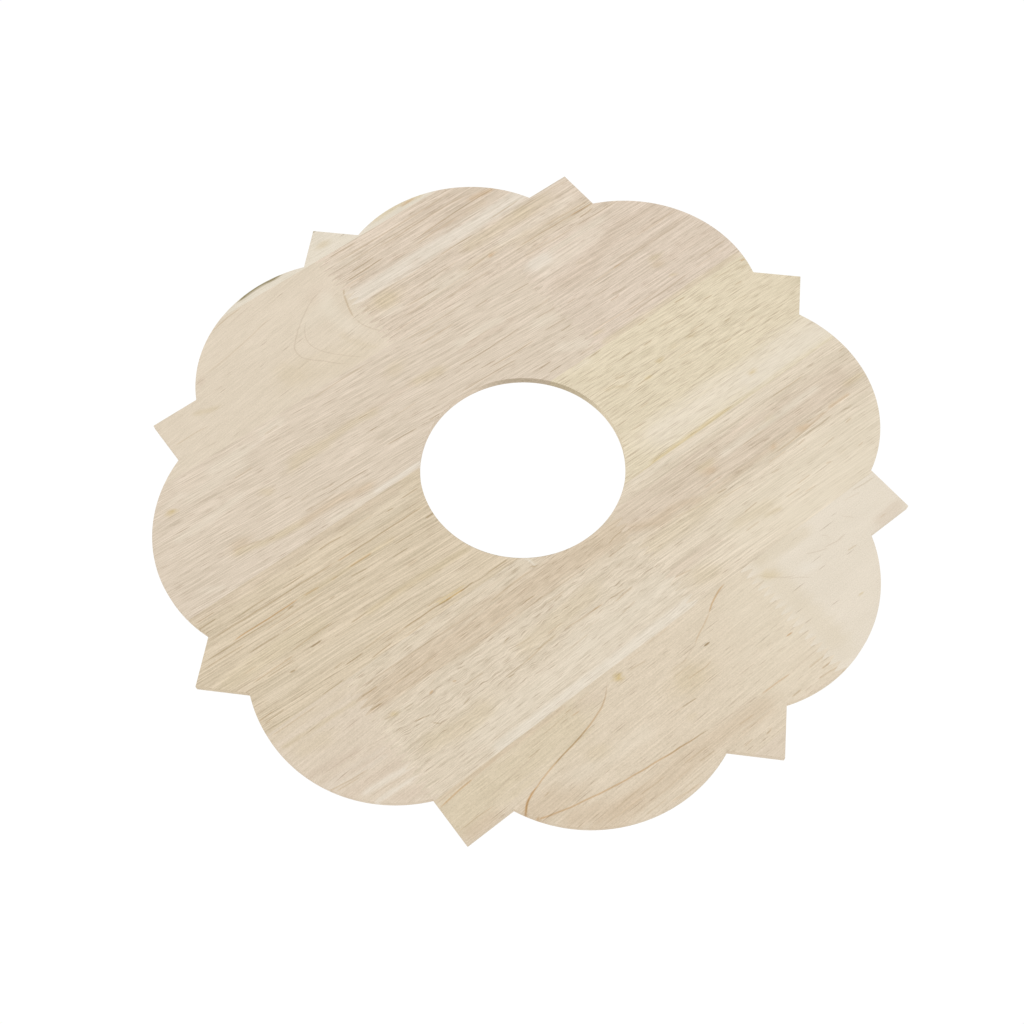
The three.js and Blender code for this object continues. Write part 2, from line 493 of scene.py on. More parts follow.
        ("pale", 6, 0.45, (150, -156), (212, -156)),
        ("gold", 4, 0.1, (160, -131), (170, -128)),
        ("mauve", 16, 0.5, (130, -122), (170, -124), (213, -138)),
        ("mauve", 12, 0.5, (213, -142), (262, -135)),
        ("mauve", 6, 0.5, (208, -126), (270, -124)),
        ("brown", 1.4, 0.45, (218, -123), (245, -122), (270, -124)),
        ("brown", 1.4, 0.5, (148, -105), (180, -106.5), (200, -108), (240, -109), (264, -108)),
        ("mauve", 5, 0.5, (195, -112), (240, -110), (270, -112)),
        ("rust", 2.2, 0.35, (183, -107.5), (192, -107)),
        ("dark", 1.2, 0.55, (126, -102.3), (139, -102.3)),
        ("dark", 1.3, 0.35, (162, -86.5), (172, -85), (181, -85.5)),
        ("dark", 1.1, 0.5, (149, -94), (167, -93.5)),
        ("dark", 1.1, 0.9, (157, -81.5), (169, -81.5)),
        ("tan", 9, 0.2, (212, -90), (222, -83)),
        ("rust", 5, 0.06, (212, -88), (221, -84)),
        ("tan", 5, 0.5, (214, -94), (226, -93)),
        ("gold", 3.2, 0.25, (217.5, -70.3), (222, -68.5)),
        ("dark", 1.6, 0.45, (151, -59.5), (165, -59.5), (178, -61), (205, -61.5), (236, -63)),
        ("dark", 1.3, 0.3, (235, -63), (260, -63.5), (283, -63)),
        ("gold", 3, 0.2, (125, -64), (135, -62)),
        ("brown", 1.3, 0.5, (125, -67), (150, -66), (170, -64.5), (205, -65)),
        ("brown", 1.4, 0.5, (248, -70.5), (283, -70)),
        ("olive", 6, 0.5, (125, -50.5), (280, -51)),
    ],
    "olive": [
        ("pale", 16, 0.2, (-140, -35), (-85, -35)),
        ("mauve", 10, 0.3, (-280, -45), (-90, -45)),
        ("pale", 16, 0.12, (-270, 40), (-90, 43)),
        ("olive", 14, 0.3, (-290, 12), (-200, 14)),
        ("dark", 1.9, 0.6, (-282, -24.5), (-255, -24), (-218, -22.2), (-195, -22), (-175, -21), (-158, -20)),
        ("rust", 1.9, 0.5, (-166, -20.3), (-148, -20)),
        ("dark", 1.8, 0.7, (-160, -20.2), (-130, -19.5), (-105, -19), (-80, -18.6)),
        ("dark", 1.6, 0.65, (-293, -12.5), (-270, -11.5), (-250, -10.8), (-225, -9.3), (-212, -9.6)),
        ("dark", 2.0, 0.8, (-218, -9.8), (-211, -9.8)),
        ("rust", 1.8, 0.85, (-266, -13.5), (-245, -13), (-225, -12.5), (-204, -12.3)),
        ("rust", 2.2, 0.8, (-203, -12), (-187, -10.6)),
        ("rust", 2.4, 0.5, (-179, -10.5), (-171, -10)),
        ("rust", 2.4, 1.0, (-162, -10.5), (-139, -9.8)),
        ("rust", 2.2, 0.1, (-129, -10.3), (-119, -9.8)),
        ("tan", 4, 0.5, (-205, -11.5), (-118, -10)),
        ("brown", 1.6, 0.6, (-294, -7.7), (-270, -6.5), (-256, -5.8)),
        ("brown", 1.4, 0.45, (-246, -5.5), (-215, -5), (-184, -5.5)),
        ("dark", 1.4, 0.55, (-166, -3.5), (-149, -1)),
        ("dark", 1.2, 0.55, (-123, -5), (-103, -4)),
        ("dark", 1.6, 0.65, (-261, 2.2), (-245, 2.6), (-231, 3)),
        ("brown", 1.3, 0.7, (-232, 3), (-211, 3.2)),
        ("dark", 1.2, 0.75, (-190, 2.8), (-181, 2.8)),
        ("dark", 1.1, 0.5, (-164, 3.5), (-153, 3.5)),
        ("dark", 1.2, 0.55, (-131, 2.8), (-114, 4)),
        ("brown", 1.4, 0.75, (-236, 20), (-215, 19.5), (-194, 19.5)),
        ("brown", 1.4, 0.8, (-271, 24), (-231, 24)),
        ("dark", 1.4, 0.55, (-261, 26.5), (-234, 27)),
        ("dark", 2.2, 1.0, (-222, 26.5), (-210, 26.3)),
        ("dark", 1.7, 0.6, (-187, 28.8), (-169, 28.3)),
        ("tan", 5, 0.6, (-172, 29.5), (-130, 30), (-78, 33)),
        ("brown", 1.4, 0.25, (-172, 28.8), (-130, 29)),
        ("dark", 2.2, 0.9, (-245, 33.3), (-238, 34.2)),
        ("brown", 1.4, 0.45, (-273, 13.8), (-259, 14.3)),
        ("brown", 1.2, 0.4, (-171, 16.5), (-159, 16.5)),
        ("brown", 2, 0.35, (-126, 16.5), (-114, 16.5)),
        ("brown", 1.3, 0.7, (-283, 51.5), (-269, 51)),
        ("dark", 1.4, 0.5, (-281, 55.5), (-261, 54.8)),
        ("brown", 1.5, 0.55, (-218, 51.8), (-207, 50.5)),
        ("dark", 1.4, 0.8, (-209, 54), (-191, 54)),
        ("brown", 1.4, 0.55, (-193, 52), (-164, 51.5)),
        ("brown", 1.1, 0.45, (-184, 46), (-174, 46.5)),
        ("gold", 2.4, 0.6, (-128, 54.4), (-116, 55), (-97, 56.4)),
        ("gold", 2.6, 0.9, (-126, 56.6), (-114, 57.6), (-101, 58.2)),
        ("rust", 1.6, 0.5, (-120, 57.2), (-108, 58.3), (-100, 58.2)),
        ("dark", 1.8, 0.85, (-160, 56), (-150.8, 56.8), (-135, 56.8), (-122, 57.8), (-110, 58.9)),
        ("dark", 1.7, 0.85, (-106, 58.9), (-99, 58.2), (-92, 58)),
        ("dark", 1.3, 0.4, (-96, 58.2), (-87, 59.4), (-77, 59.4)),
        ("brown", 1.6, 0.6, (-134, 54), (-123, 52.5), (-117, 54)),
        ("dark", 1.6, 0.65, (-81, 58.8), (-59, 59.2)),
        ("brown", 1.3, 0.5, (-176, 57), (-149, 57)),
        ("dark", 1.2, 0.85, (-191, 61.5), (-169, 60.5)),
        ("dark", 1.2, 0.55, (-236, 63), (-214, 62.8)),
        ("brown", 1.1, 0.5, (-161, 63), (-139, 62.5)),
        ("dark", 1.1, 0.3, (-271, 62), (-260, 62)),
        ("dark", 1.2, 0.7, (-279, -43), (-261, -42.5)),
        ("dark", 1.4, 0.75, (-280, -37.7), (-263, -36.8)),
        ("dark", 1.3, 0.5, (-195, -36.5), (-180, -36)),
        ("dark", 1.8, 0.65, (-173, -37.2), (-160, -37.2), (-149, -36)),
        ("brown", 1.2, 0.5, (-150, -36), (-119, -37)),
        ("dark", 1.5, 0.55, (-213, -27), (-189, -26.8)),
        ("brown", 1.1, 0.7, (-249, -28.3), (-224, -28.3)),
        ("dark", 1.5, 0.75, (-112, -32.5), (-102, -31.5)),
        ("dark", 1.6, 0.55, (-96, -34.8), (-77, -34.3)),
        ("dark", 1.0, 0.45, (-171, -17), (-162, -17)),
        ("dark", 2.4, 0.8, (-91, -8.6), (-81, -8.4)),
    ],
    "straw": [
        ("white", 14, 0.45, (190, 53), (300, 53)),
        ("pale", 27, 0.7, (92, 46), (190, 47), (340, 46)),
        ("gold", 3.4, 0.45, (82, 62.6), (110, 62.3), (150, 61.8), (167, 62.4)),
        ("olive", 3, 0.5, (165, 62.3), (192, 62.6)),
        ("gold", 5, 0.5, (203.5, 47), (206.5, 47.5)),
        ("pale", 7, 0.4, (90, -47), (108, -47)),
        ("brown", 1.7, 0.9, (199, -46), (213, -45.5)),
        ("brown", 1.8, 0.6, (221, -33), (233, -32.5)),
        ("brown", 1.5, 0.6, (252, -28.2), (263, -27.5)),
        ("brown", 1.4, 0.3, (181, -27), (197, -27)),
        ("dark", 1.3, 0.85, (127, -30), (140, -30.2)),
        ("brown", 1.3, 0.8, (149, -28), (161, -28.5)),
        ("brown", 1.4, 0.6, (172, -35), (190, -33.5)),
        ("tan", 3, 0.7, (98, -14), (108, -10), (116, -6)),
        ("tan", 4, 0.45, (167, -13), (174, -12)),
        ("tan", 4, 0.5, (184, -12.5), (194, -11)),
        ("brown", 1.5, 0.5, (184, -12), (194, -10.5)),
        ("gold", 2.8, 0.4, (149.5, -9.2), (154.5, -8.4)),
        ("gold", 2.8, 0.35, (130.5, -2.3), (135.5, -1)),
        ("brown", 1.5, 0.6, (189, -15), (208, -14)),
        ("brown", 1.5, 0.85, (111, -16.5), (121, -15.5)),
        ("dark", 1.4, 0.75, (219, -5), (229, -4.5)),
        ("brown", 1.3, 0.6, (234, 6.5), (247, 6)),
        ("brown", 1.2, 0.3, (239, -16), (256, -14)),
        ("brown", 1.3, 0.55, (119, -1), (141, -1.5)),
        ("brown", 1.3, 0.5, (164, -1), (181, -0.5)),
        ("brown", 1.3, 0.55, (149, 8), (159, 8)),
        ("brown", 1.1, 0.8, (204, 11), (216, 11.5)),
        ("brown", 1.3, 0.3, (242, -46), (263, -42)),
        ("brown", 1.3, 0.85, (159, -47), (173, -47.5)),
        ("brown", 1.3, 0.55, (104, -46.5), (121, -47.5)),
        ("rust", 1.7, 0.8, (274, -44.5), (281, -44)),
        ("brown", 1.5, 0.55, (269, -38), (280, -38)),
        ("brown", 1.6, 0.5, (107, 17), (119, 17)),
        ("brown", 2.0, 0.35, (106, 30), (88, 29)),
        ("grey", 1.2, 0.35, (160, 28), (190, 28.5)),
        ("grey", 1.1, 0.35, (236, 33.5), (250, 33)),
    ],
    "paleEnd": [
        ("tan", 8, 0.2, (-286, 70), (-212, 70)),
        ("mauve", 10, 0.4, (-272, 121), (-220, 125)),
        ("brown", 1.5, 0.5, (-283, 66.5), (-265, 66.8), (-240, 67.4)),
        ("tan", 3, 0.5, (-279, 78.5), (-250, 80.5), (-218, 82.5)),
        ("tan", 12, 0.25, (-275, 86), (-245, 92)),
        ("mauve", 6, 0.5, (-277, 108), (-255, 111), (-235, 113)),
        ("grey", 1.4, 0.55, (-270, 112.5), (-245, 113.3), (-233, 114.5)),
        ("white", 3.4, 0.25, (-272, 121), (-245, 121), (-222, 124)),
        ("white", 3, 0.25, (-270, 125), (-245, 127), (-222, 129)),
        ("brown", 1.5, 0.55, (-273, 125), (-255, 128), (-238, 129.5)),
        ("brown", 1.3, 0.5, (-269, 128.5), (-246, 130.5)),
        ("mauve", 8, 0.4, (-265, 136), (-216, 139)),
        ("white", 4, 0.5, (-252, 142), (-230, 144), (-214, 146)),
        ("grey", 1.3, 0.5, (-252, 146), (-225, 148.5), (-208, 149)),
        ("white", 3, 0.6, (-252, 152), (-235, 152.5), (-216, 155)),
        ("mauve", 7, 0.45, (-238, 159), (-215, 165)),
        ("grey", 1.2, 0.5, (-233, 115), (-212, 118)),
    ],
    "mottled": [
        ("tan", 8, 0.1, (-216, 70), (-56, 70)),
        ("pale", 18, 0.4, (-72, 146), (28, 146)),
        ("rosy", 22, 0.6, (-260, 86), (-150, 88), (-100, 88), (-50, 89), (0, 92), (70, 97)),
        ("grey", 1.4, 0.5, (-152, 67), (-130, 68.5), (-100, 69.5), (-53, 69)),
        ("dark", 1.8, 0.3, (-214, 75.5), (-190, 76), (-150, 77), (-110, 79), (-93, 78.5)),
        ("brown", 1.7, 0.5, (-95, 79), (-60, 77.5), (-49, 78.5)),
        ("dark", 2.1, 0.6, (-214, 82), (-197, 82)),
        ("dark", 2.2, 0.65, (-215, 94.6), (-202, 95)),
        ("dark", 1.6, 0.28, (-204, 95.3), (-175, 97), (-155, 98.5), (-120, 99), (-94, 100)),
        ("brown", 1.5, 0.3, (-95, 100), (-60, 100.5), (-30, 101.5), (2, 103)),
        ("brown", 1.4, 0.5, (-191, 88.5), (-170, 89), (-149, 89)),
        ("rust", 2.0, 0.15, (-207, 91), (-194, 93)),
        ("rust", 1.6, 0.15, (-107, 96), (-79, 96)),
        ("dark", 1.7, 0.55, (-74, 95), (-61, 96)),
        ("gold", 3.2, 0.4, (-203, 107), (-199.5, 107)),
        ("dark", 1.5, 0.5, (-211, 106), (-202, 107)),
        ("dark", 1.5, 0.3, (-195, 108.5), (-184, 109)),
        ("dark", 1.5, 0.6, (-195, 120.6), (-179, 123.7)),
        ("dark", 1.6, 0.55, (-184, 128.5), (-178, 134.5)),
        ("dark", 1.4, 0.55, (-150, 121), (-129, 121.5)),
        ("dark", 1.4, 0.25, (-173, 131.5), (-162, 131)),
        ("dark", 1.3, 0.55, (-159, 132.5), (-149, 131)),
        ("brown", 1.4, 0.2, (-171, 107), (-159, 102)),
        ("rust", 2.6, 0.4, (-153.5, 112.8), (-149.5, 114.7)),
        ("rust", 2.6, 0.6, (-173, 111), (-167, 109.4)),
        ("dark", 1.5, 0.75, (-121, 136), (-111, 136.3)),
        ("dark", 1.5, 0.45, (-122, 134.5), (-94, 133.4)),
        ("brown", 1.8, 0.65, (-101, 134), (-85, 132), (-68, 130.5)),
        ("brown", 1.7, 0.6, (-64, 131.2), (-45, 132.5), (-27, 133)),
        ("rust", 1.6, 0.4, (-36, 132.5), (-26, 133)),
        ("brown", 1.4, 0.55, (-21, 133), (-4, 134)),
        ("brown", 1.6, 0.6, (-19, 137.5), (2, 135.7)),
        ("dark", 1.3, 0.75, (-105, 112), (-97, 110.5)),
        ("dark", 1.3, 0.55, (-56, 109.3), (-44, 108)),
        ("brown", 1.3, 0.5, (-61, 107), (-41, 106.5)),
        ("dark", 1.3, 0.5, (0, 106), (21, 105)),
        ("dark", 1.3, 0.55, (8, 97), (18, 94.5), (29, 94.5)),
        ("dark", 1.3, 0.25, (-41, 112), (-24, 110.5)),
        ("brown", 1.3, 0.5, (-101, 120), (-84, 121)),
        ("brown", 1.3, 0.5, (-76, 126.5), (-59, 126)),
        ("brown", 1.3, 0.2, (-16, 118), (11, 114)),
        ("brown", 1.2, 0.2, (-56, 140.5), (-34, 141)),
        ("brown", 1.2, 0.5, (-71, 146), (-49, 145)),
        ("brown", 1.2, 0.5, (-21, 148), (-4, 146)),
        ("white", 9, 0.55, (-160, 174), (-60, 173), (80, 172.5)),
        ("pale", 20, 0.4, (-170, 160), (-100, 157), (70, 157)),
        ("tan", 15, 0.35, (-200, 139), (-165, 146), (-140, 143)),
        ("tan", 14, 0.3, (-100, 125), (-20, 120)),
        # a chip at the hole's rim: white and cream for the freshly broken wood, and a brown line at its lower
        # end that is painted shadow of the chip
        ("white", 2.6, 1.0, (-49.2, 66), (-47.8, 71), (-46.6, 78)),
        ("cream", 2.6, 1.0, (-47.2, 66), (-46.8, 70), (-46.2, 76)),
        ("brown", 1.6, 0.8, (-50.5, 74), (-49.5, 76), (-44, 77.5)),
    ],
    "mauve": [
        ("tan", 16, 0.3, (26, 118), (106, 118)),
        ("mauve", 9, 0.4, (26, 146), (80, 146)),
        ("cream", 16, 0.7, (130, 170), (232, 168)),
        ("cream", 44, 0.65, (84, 150), (150, 150), (290, 146)),
        ("mauve", 30, 0.55, (20, 93), (130, 97), (268, 97)),
        ("rosy", 9, 0.6, (30, 95), (40, 101), (50, 105), (64, 107)),
        ("rosy", 6, 0.55, (62, 103), (80, 106), (92, 112)),
        ("brown", 1.8, 0.15, (29, 93), (37, 99), (46, 104), (54, 107)),
        ("pale", 5, 0.3, (58, 67.5), (120, 69), (205, 70)),
        ("grey", 1.6, 0.35, (60, 71), (100, 72), (130, 74), (165, 75), (232, 76)),
        ("grey", 1.4, 0.5, (94, 83), (111, 84)),
        ("brown", 1.5, 0.55, (198, 75.5), (237, 76)),
        ("dark", 1.4, 0.55, (274, 77), (283, 77)),
        ("grey", 1.3, 0.5, (60, 88), (122, 90)),
        ("brown", 1.5, 0.2, (126, 89), (152, 89.5)),
        ("brown", 1.5, 0.7, (166, 90), (186, 89.5)),
        ("brown", 1.3, 0.4, (148, 95), (176, 95)),
        ("tan", 5, 0.6, (107, 90), (123, 91)),
        ("tan", 5, 0.5, (182, 90), (190, 90)),
        ("rust", 6, 0.16, (109, 95), (119, 98)),
        ("brown", 1.5, 0.45, (99, 105), (119, 106)),
        ("dark", 1.8, 0.6, (103, 115.5), (116, 116.5)),
        ("brown", 1.9, 0.3, (63, 111), (80, 114), (93, 117)),
        ("brown", 2.2, 0.55, (163, 116), (185, 116.5), (200, 115), (232, 113)),
        ("rust", 4.5, 0.22, (166.5, 113.5), (172, 110)),
        ("rust", 4.5, 0.22, (195, 111.5), (205, 113.5)),
        ("rust", 3.2, 0.22, (230, 111.5), (251, 112)),
        ("brown", 1.6, 0.5, (204, 110.5), (226, 113)),
        ("dark", 1.7, 0.45, (192, 119), (215, 119), (229, 118)),
        ("brown", 1.3, 0.5, (154, 120), (176, 120)),
        ("brown", 1.3, 0.5, (104, 121), (129, 122.5)),
        ("brown", 1.4, 0.5, (184, 122.5), (196, 121)),
        ("dark", 1.2, 0.45, (236, 120), (246, 123)),
        ("tan", 5, 0.5, (255, 104), (276, 105)),
        ("tan", 14, 0.3, (40, 158), (62, 168)),
        ("tan", 10, 0.3, (95, 145), (135, 148)),
        ("brown", 1.3, 0.45, (149, 128), (161, 129)),
        ("brown", 1.3, 0.7, (109, 141), (126, 140)),
        ("brown", 1.5, 0.5, (99, 154), (116, 154)),
        ("brown", 1.4, 0.5, (144, 151), (161, 152)),
        ("brown", 1.4, 0.5, (159, 148), (176, 148)),
        ("brown", 2.0, 0.5, (190, 148.3), (198, 150)),
        ("brown", 1.3, 0.45, (159, 157), (173, 158)),
        ("brown", 1.3, 0.4, (184, 128), (191, 127.5)),
        ("brown", 1.3, 0.4, (197, 135.5), (216, 134.5)),
        ("brown", 1.7, 0.6, (229, 131), (239, 130)),
        ("brown", 1.4, 0.25, (204, 149), (216, 148)),
        ("brown", 1.4, 0.5, (221, 153), (231, 152)),
        ("brown", 1.4, 0.55, (27, 149), (47, 153)),
        ("tan", 3, 0.5, (121, 153), (136, 156)),
        ("pale", 6, 0.6, (130, 91.5), (238, 91.5)),
        ("mauve", 5, 0.35, (28, 79.5), (174, 79.5)),
        ("rosy", 5, 0.3, (100, 111.5), (204, 112)),
    ],
    "ringLine": [
        ("mauve", 9, 0.4, (-98, 186), (-72, 186)),
        ("cream", 62, 0.55, (34, 200), (84, 212), (130, 222)),
        ("cream", 48, 0.4, (6, 253), (70, 257), (130, 261)),
        ("rosy", 18, 0.5, (-176, 226), (-150, 228), (-128, 232)),
        ("rosy", 14, 0.55, (-154, 243), (-125, 255), (-98, 263)),
        ("olive", 30, 0.4, (-260, 191), (-150, 193), (-90, 190)),
        ("rosy", 10, 0.55, (-214, 211), (-186, 211)),
        ("rosy", 3, 0.6, (-214, 178.5), (-100, 178.5)),
        ("pale", 10, 0.3, (-140, 224), (-60, 230)),
        ("rosy", 15, 0.45, (-170, 266), (-62, 263), (-20, 265), (24, 268)),
        ("tan", 20, 0.45, (-28, 219), (0, 219)),
        ("rust", 1.9, 0.6, (-61.5, 182), (-66, 186), (-72, 191), (-80, 196), (-92, 200), (-106, 203.2),
         (-133, 208), (-151, 212.4), (-163, 217), (-169, 222), (-176, 236)),
        ("grey", 1.6, 0.5, (-96, 201), (-88, 199), (-79.5, 195.7), (-71.5, 190.7), (-65, 185)),
        ("rust", 2.6, 0.8, (-152, 212.8), (-163, 217), (-169, 222), (-173, 228), (-175, 234)),
        ("dark", 1.5, 0.45, (-160, 215.8), (-166, 219.1), (-171, 225), (-175, 232)),
        ("dark", 1.5, 0.6, (-133, 208), (-120, 205.6), (-106, 203.2), (-94, 200.6)),
        ("rust", 1.9, 0.65, (-186, 223), (-176, 226.6), (-168, 230.3), (-160, 233.6), (-152, 236),
         (-137, 240.2), (-120, 243.8), (-106, 246.3),
         (-87, 249.3), (-67.5, 251.7), (-45, 254), (-27, 256)),
        ("dark", 1.5, 0.5, (-70, 251.5), (-45, 254), (-27, 256)),
        ("grey", 1.5, 0.6, (-30, 255.8), (0, 257.9), (20, 259)),
        ("rust", 1.7, 0.5, (18, 259.4), (48, 260.3)),
        ("grey", 1.4, 0.45, (46, 260), (77, 259)),
        ("rust", 2.0, 0.65, (-215.5, 183), (-200, 181.5), (-183, 180.5)),
        ("brown", 1.6, 0.25, (-186, 180.5), (-158, 178)),
        ("grey", 1.6, 0.55, (-187, 199), (-160, 196), (-133, 193)),
        ("dark", 1.1, 0.5, (-146, 193), (-132, 192.5)),
        ("grey", 1.4, 0.5, (-192, 202), (-174, 201)),
        ("brown", 1.5, 0.55, (-215.5, 204.5), (-200, 204), (-182, 205)),
        ("brown", 1.1, 0.45, (-127, 186), (-99, 184)),
        ("brown", 1.3, 0.8, (-104, 183), (-96, 183)),
        ("rust", 1.3, 0.45, (-102, 187.5), (-92, 188)),
        ("brown", 1.2, 0.25, (-91, 182.5), (-77, 180.5)),
        ("brown", 1.2, 0.7, (-154, 221.5), (-146, 221)),
        ("tan", 12, 0.3, (-110, 216), (-95, 224)),
        ("gold", 5, 0.8, (-55, 183), (-54.3, 187)),
        ("brown", 1.3, 0.5, (-46, 186), (-29, 188)),
        ("brown", 1.4, 0.25, (-43, 179), (-27, 180)),
        ("brown", 1.8, 0.25, (-24, 178.5), (2, 178)),
        ("rust", 2.0, 0.7, (58, 176.6), (50, 178.7), (40, 183), (31, 188.4)),
        ("rust", 1.6, 0.35, (33, 187.5), (22, 193), (14, 196.5), (6, 200.5)),
        ("grey", 1.5, 0.4, (7, 200), (0, 202.7), (-12, 206)),
        ("dark", 2.2, 1.0, (10.2, 205.5), (17.4, 205.8)),
        ("dark", 1.6, 0.9, (11, 205.5), (16.6, 205.8)),
        ("brown", 1.4, 0.25, (-21, 206), (-4, 205)),
        ("brown", 1.5, 0.25, (-23, 210), (-4, 211.5)),
        ("brown", 1.5, 0.6, (-17, 217.5), (0, 218.8), (9, 217.5)),
        ("grey", 1.3, 0.5, (-36, 215), (-24, 217)),
        ("grey", 1.2, 0.5, (-61, 222), (-49, 223)),
        ("dark", 1.5, 0.65, (-34, 231.5), (-18, 232.6)),
        ("brown", 1.2, 0.4, (-41, 231), (-32, 231.5)),
        ("grey", 1.2, 0.45, (14, 231.5), (28, 231)),
        ("tan", 3, 0.6, (-34, 242), (-29.5, 240)),
        ("rust", 1.6, 0.85, (63, 237.5), (72, 237.8)),
        ("grey", 1.3, 0.5, (49, 242), (61, 243)),
        ("grey", 1.4, 0.45, (59, 230), (71, 230)),
        ("brown", 1.5, 0.2, (-122, 259), (-84, 258)),
        ("brown", 1.5, 0.3, (-131, 263), (-94, 264.5)),
        ("brown", 1.4, 0.5, (-101, 262), (-74, 262.5)),
        ("brown", 1.3, 0.5, (-61, 264), (-37, 264)),
        ("brown", 1.3, 0.5, (-51, 269.5), (-34, 270)),
        ("brown", 1.5, 0.25, (-96, 270.5), (-54, 269)),
        ("brown", 1.5, 0.3, (-106, 275), (-84, 275.5)),
        ("brown", 1.4, 0.2, (-76, 277.5), (-54, 276.5)),
        ("brown", 1.6, 0.55, (-11, 266.5), (6, 267)),
        ("brown", 1.3, 0.2, (-16, 272), (20, 273)),
        ("pale", 1.6, 0.5, (-16, 270.3), (31, 272)),
        ("brown", 1.6, 0.5, (59, 265.5), (79, 266)),
        ("brown", 1.6, 0.75, (34, 274.5), (46, 274.5)),
        ("brown", 1.7, 0.55, (59, 276), (81, 278.5)),
        ("brown", 1.6, 0.85, (66, 272), (81, 272.3)),
        ("rust", 2.4, 0.15, (-86, 279), (-58, 282)),
        ("brown", 1.4, 0.5, (-19, 281), (-7, 280)),
        ("brown", 1.4, 0.8, (0, 284), (8, 283)),
    ],
    "creamEnd": [
        ("tan", 20, 0.2, (90, 180), (91, 270)),
        ("grey", 1.4, 0.4, (82, 187), (88, 194), (98, 202), (106, 205)),
        ("grey", 1.2, 0.4, (97, 203), (106, 208), (113, 214)),
        ("grey", 1.4, 0.4, (122, 196), (132, 201), (141, 204)),
        ("grey", 1.5, 0.5, (137, 201.5), (150, 203.5), (161, 202.5)),
        ("grey", 1.2, 0.4, (143, 191), (149, 198)),
        ("grey", 1.2, 0.4, (167, 189), (176, 198)),
        ("brown", 1.6, 0.45, (149, 214.5), (161, 215)),
        ("brown", 1.6, 0.45, (189, 209.5), (198, 209.5)),
        ("gold", 2.2, 0.5, (129, 247), (137, 247)),
        ("dark", 1.6, 0.25, (189, 178.7), (200, 180), (215, 181)),
        ("brown", 1.3, 0.2, (177, 181), (196, 184)),
        ("gold", 6, 0.2, (84, 189), (95, 196)),
        ("mauve", 8, 0.35, (184, 211), (213, 210)),
        ("white", 8, 0.4, (111, 204), (126, 208)),
        ("tan", 10, 0.25, (85, 178), (140, 182)),
    ],
}

print("layout ready")


def smoothLine(places, step):  # a rounded line through the given places
    places = np.array(places, float)
    lengths = np.r_[0, np.cumsum(np.linalg.norm(np.diff(places, axis=0), axis=1))]
    count = max(4, int(round(lengths[-1] / step)) + 1)
    at = np.linspace(0, lengths[-1], count)
    if len(places) < 4:
        return np.c_[np.interp(at, lengths, places[:, 0]), np.interp(at, lengths, places[:, 1])]
    line = []
    for s in at:
        k = min(int(np.searchsorted(lengths, s, side="right")) - 1, len(places) - 2)
        t = (s - lengths[k]) / (lengths[k + 1] - lengths[k])
        a, b, c, d = (places[min(max(k + j, 0), len(places) - 1)] for j in (-1, 0, 1, 2))
        squared = 2 * a - 5 * b + 4 * c - d
        cubed = 3 * b - a - 3 * c + d
        line.append(0.5 * (2 * b + (c - a) * t + squared * t**2 + cubed * t**3))
    return np.array(line)


def strokeLine(width, places):  # with the slight wander of a line in wood
    line = smoothLine(places, strokeLook["narrowStep"])
    overU, overW = strokeLook["wanderOver"]
    wander = [noise.noise(Vector((u / overU, w / overW, 7.7))) for u, w in line]
    line[:, 1] += strokeLook["wander"] * width * np.array(wander)
    return line


def distanceToLine(points, line):  # also how far along the line the nearest place is, 0 to 1
    best = np.full(len(points), 1e9)
    along = np.zeros(len(points))
    lengths = np.linalg.norm(np.diff(line, axis=0), axis=1)
    total = lengths.sum()
    done = 0.0
    for start, end, length in zip(line[:-1], line[1:], lengths):
        step = end - start
        share = np.clip(((points - start) @ step) / (step @ step), 0, 1)
        gap = np.linalg.norm(points - start - share[:, None] * step, axis=1)
        nearer = gap < best
        best[nearer] = gap[nearer]
        along[nearer] = (done + share[nearer] * length) / total
        done += length
    return best, along


def taper(along):  # a stroke is widest in the middle and closes at its ends
    return np.clip(np.minimum(along, 1 - along) * strokeLook["closing"], strokeLook["thinnest"], 1)


def insideFace(points, margin):  # more than margin from the rim and from the hole
    tipRadius = rim["acrossPoints"] / 2
    pitch = 2 * math.pi / rim["points"]
    centre, lobeRadius = lobeShape()[:2]
    radius = np.linalg.norm(points, axis=1)
    angle = np.arctan2(points[:, 1], points[:, 0])
    angle = np.abs((angle + pitch / 2) % pitch - pitch / 2)
    x = radius * np.cos(angle)
    y = radius * np.sin(angle)
    inPoint = (x + y < tipRadius - margin * math.sqrt(2)) & (y < rim["pointHeight"] + rim["pointFoot"])
    lobeX = centre * math.cos(pitch / 2)
    lobeY = centre * math.sin(pitch / 2)
    inLobe = np.hypot(x - lobeX, y - lobeY) < lobeRadius - margin
    return ((radius < rim["fullWithin"]) | inPoint | inLobe) & (radius > rim["holeDiameter"] / 2 + margin)


# The face as a flat net of triangles, cut along the seams, the finger joints and the narrow strokes.
# The net is squeezed along the grain while it is laid out, so its triangles stretch that way.
def addRun(net, run, closed=False):
    first = len(net["points"])
    net["points"].extend((float(u), float(w)) for u, w in run)
    last = len(net["points"]) - 1
    net["edges"].extend((i, i + 1) for i in range(first, last))
    if closed:
        net["edges"].append((last, first))


def addSeams(net):
    for row in range(1, panel["seams"] + 1):
        addRun(net, [(-panel["beyond"], seamOf(row)), (panel["beyond"], seamOf(row))])
    for stave in staves.values():
        if abs(stave["start"]) < rim["acrossPoints"] / 2 and stave["start"] != 0:
            half = panel["fingerPitch"] / 2
            blunt = panel["fingerTip"] / 2
            top = seamOf(stave["row"])
            bottom = seamOf(stave["row"] + 1)
            corners = [top, bottom]
            for k in range(int(top // half) - 1, int(bottom // half) + 2):
                corners += [k * half - blunt, k * half + blunt]
            across = np.array(sorted(w for w in corners if top <= w <= bottom))
            addRun(net, np.c_[fingerEdge(stave["start"], across), across])


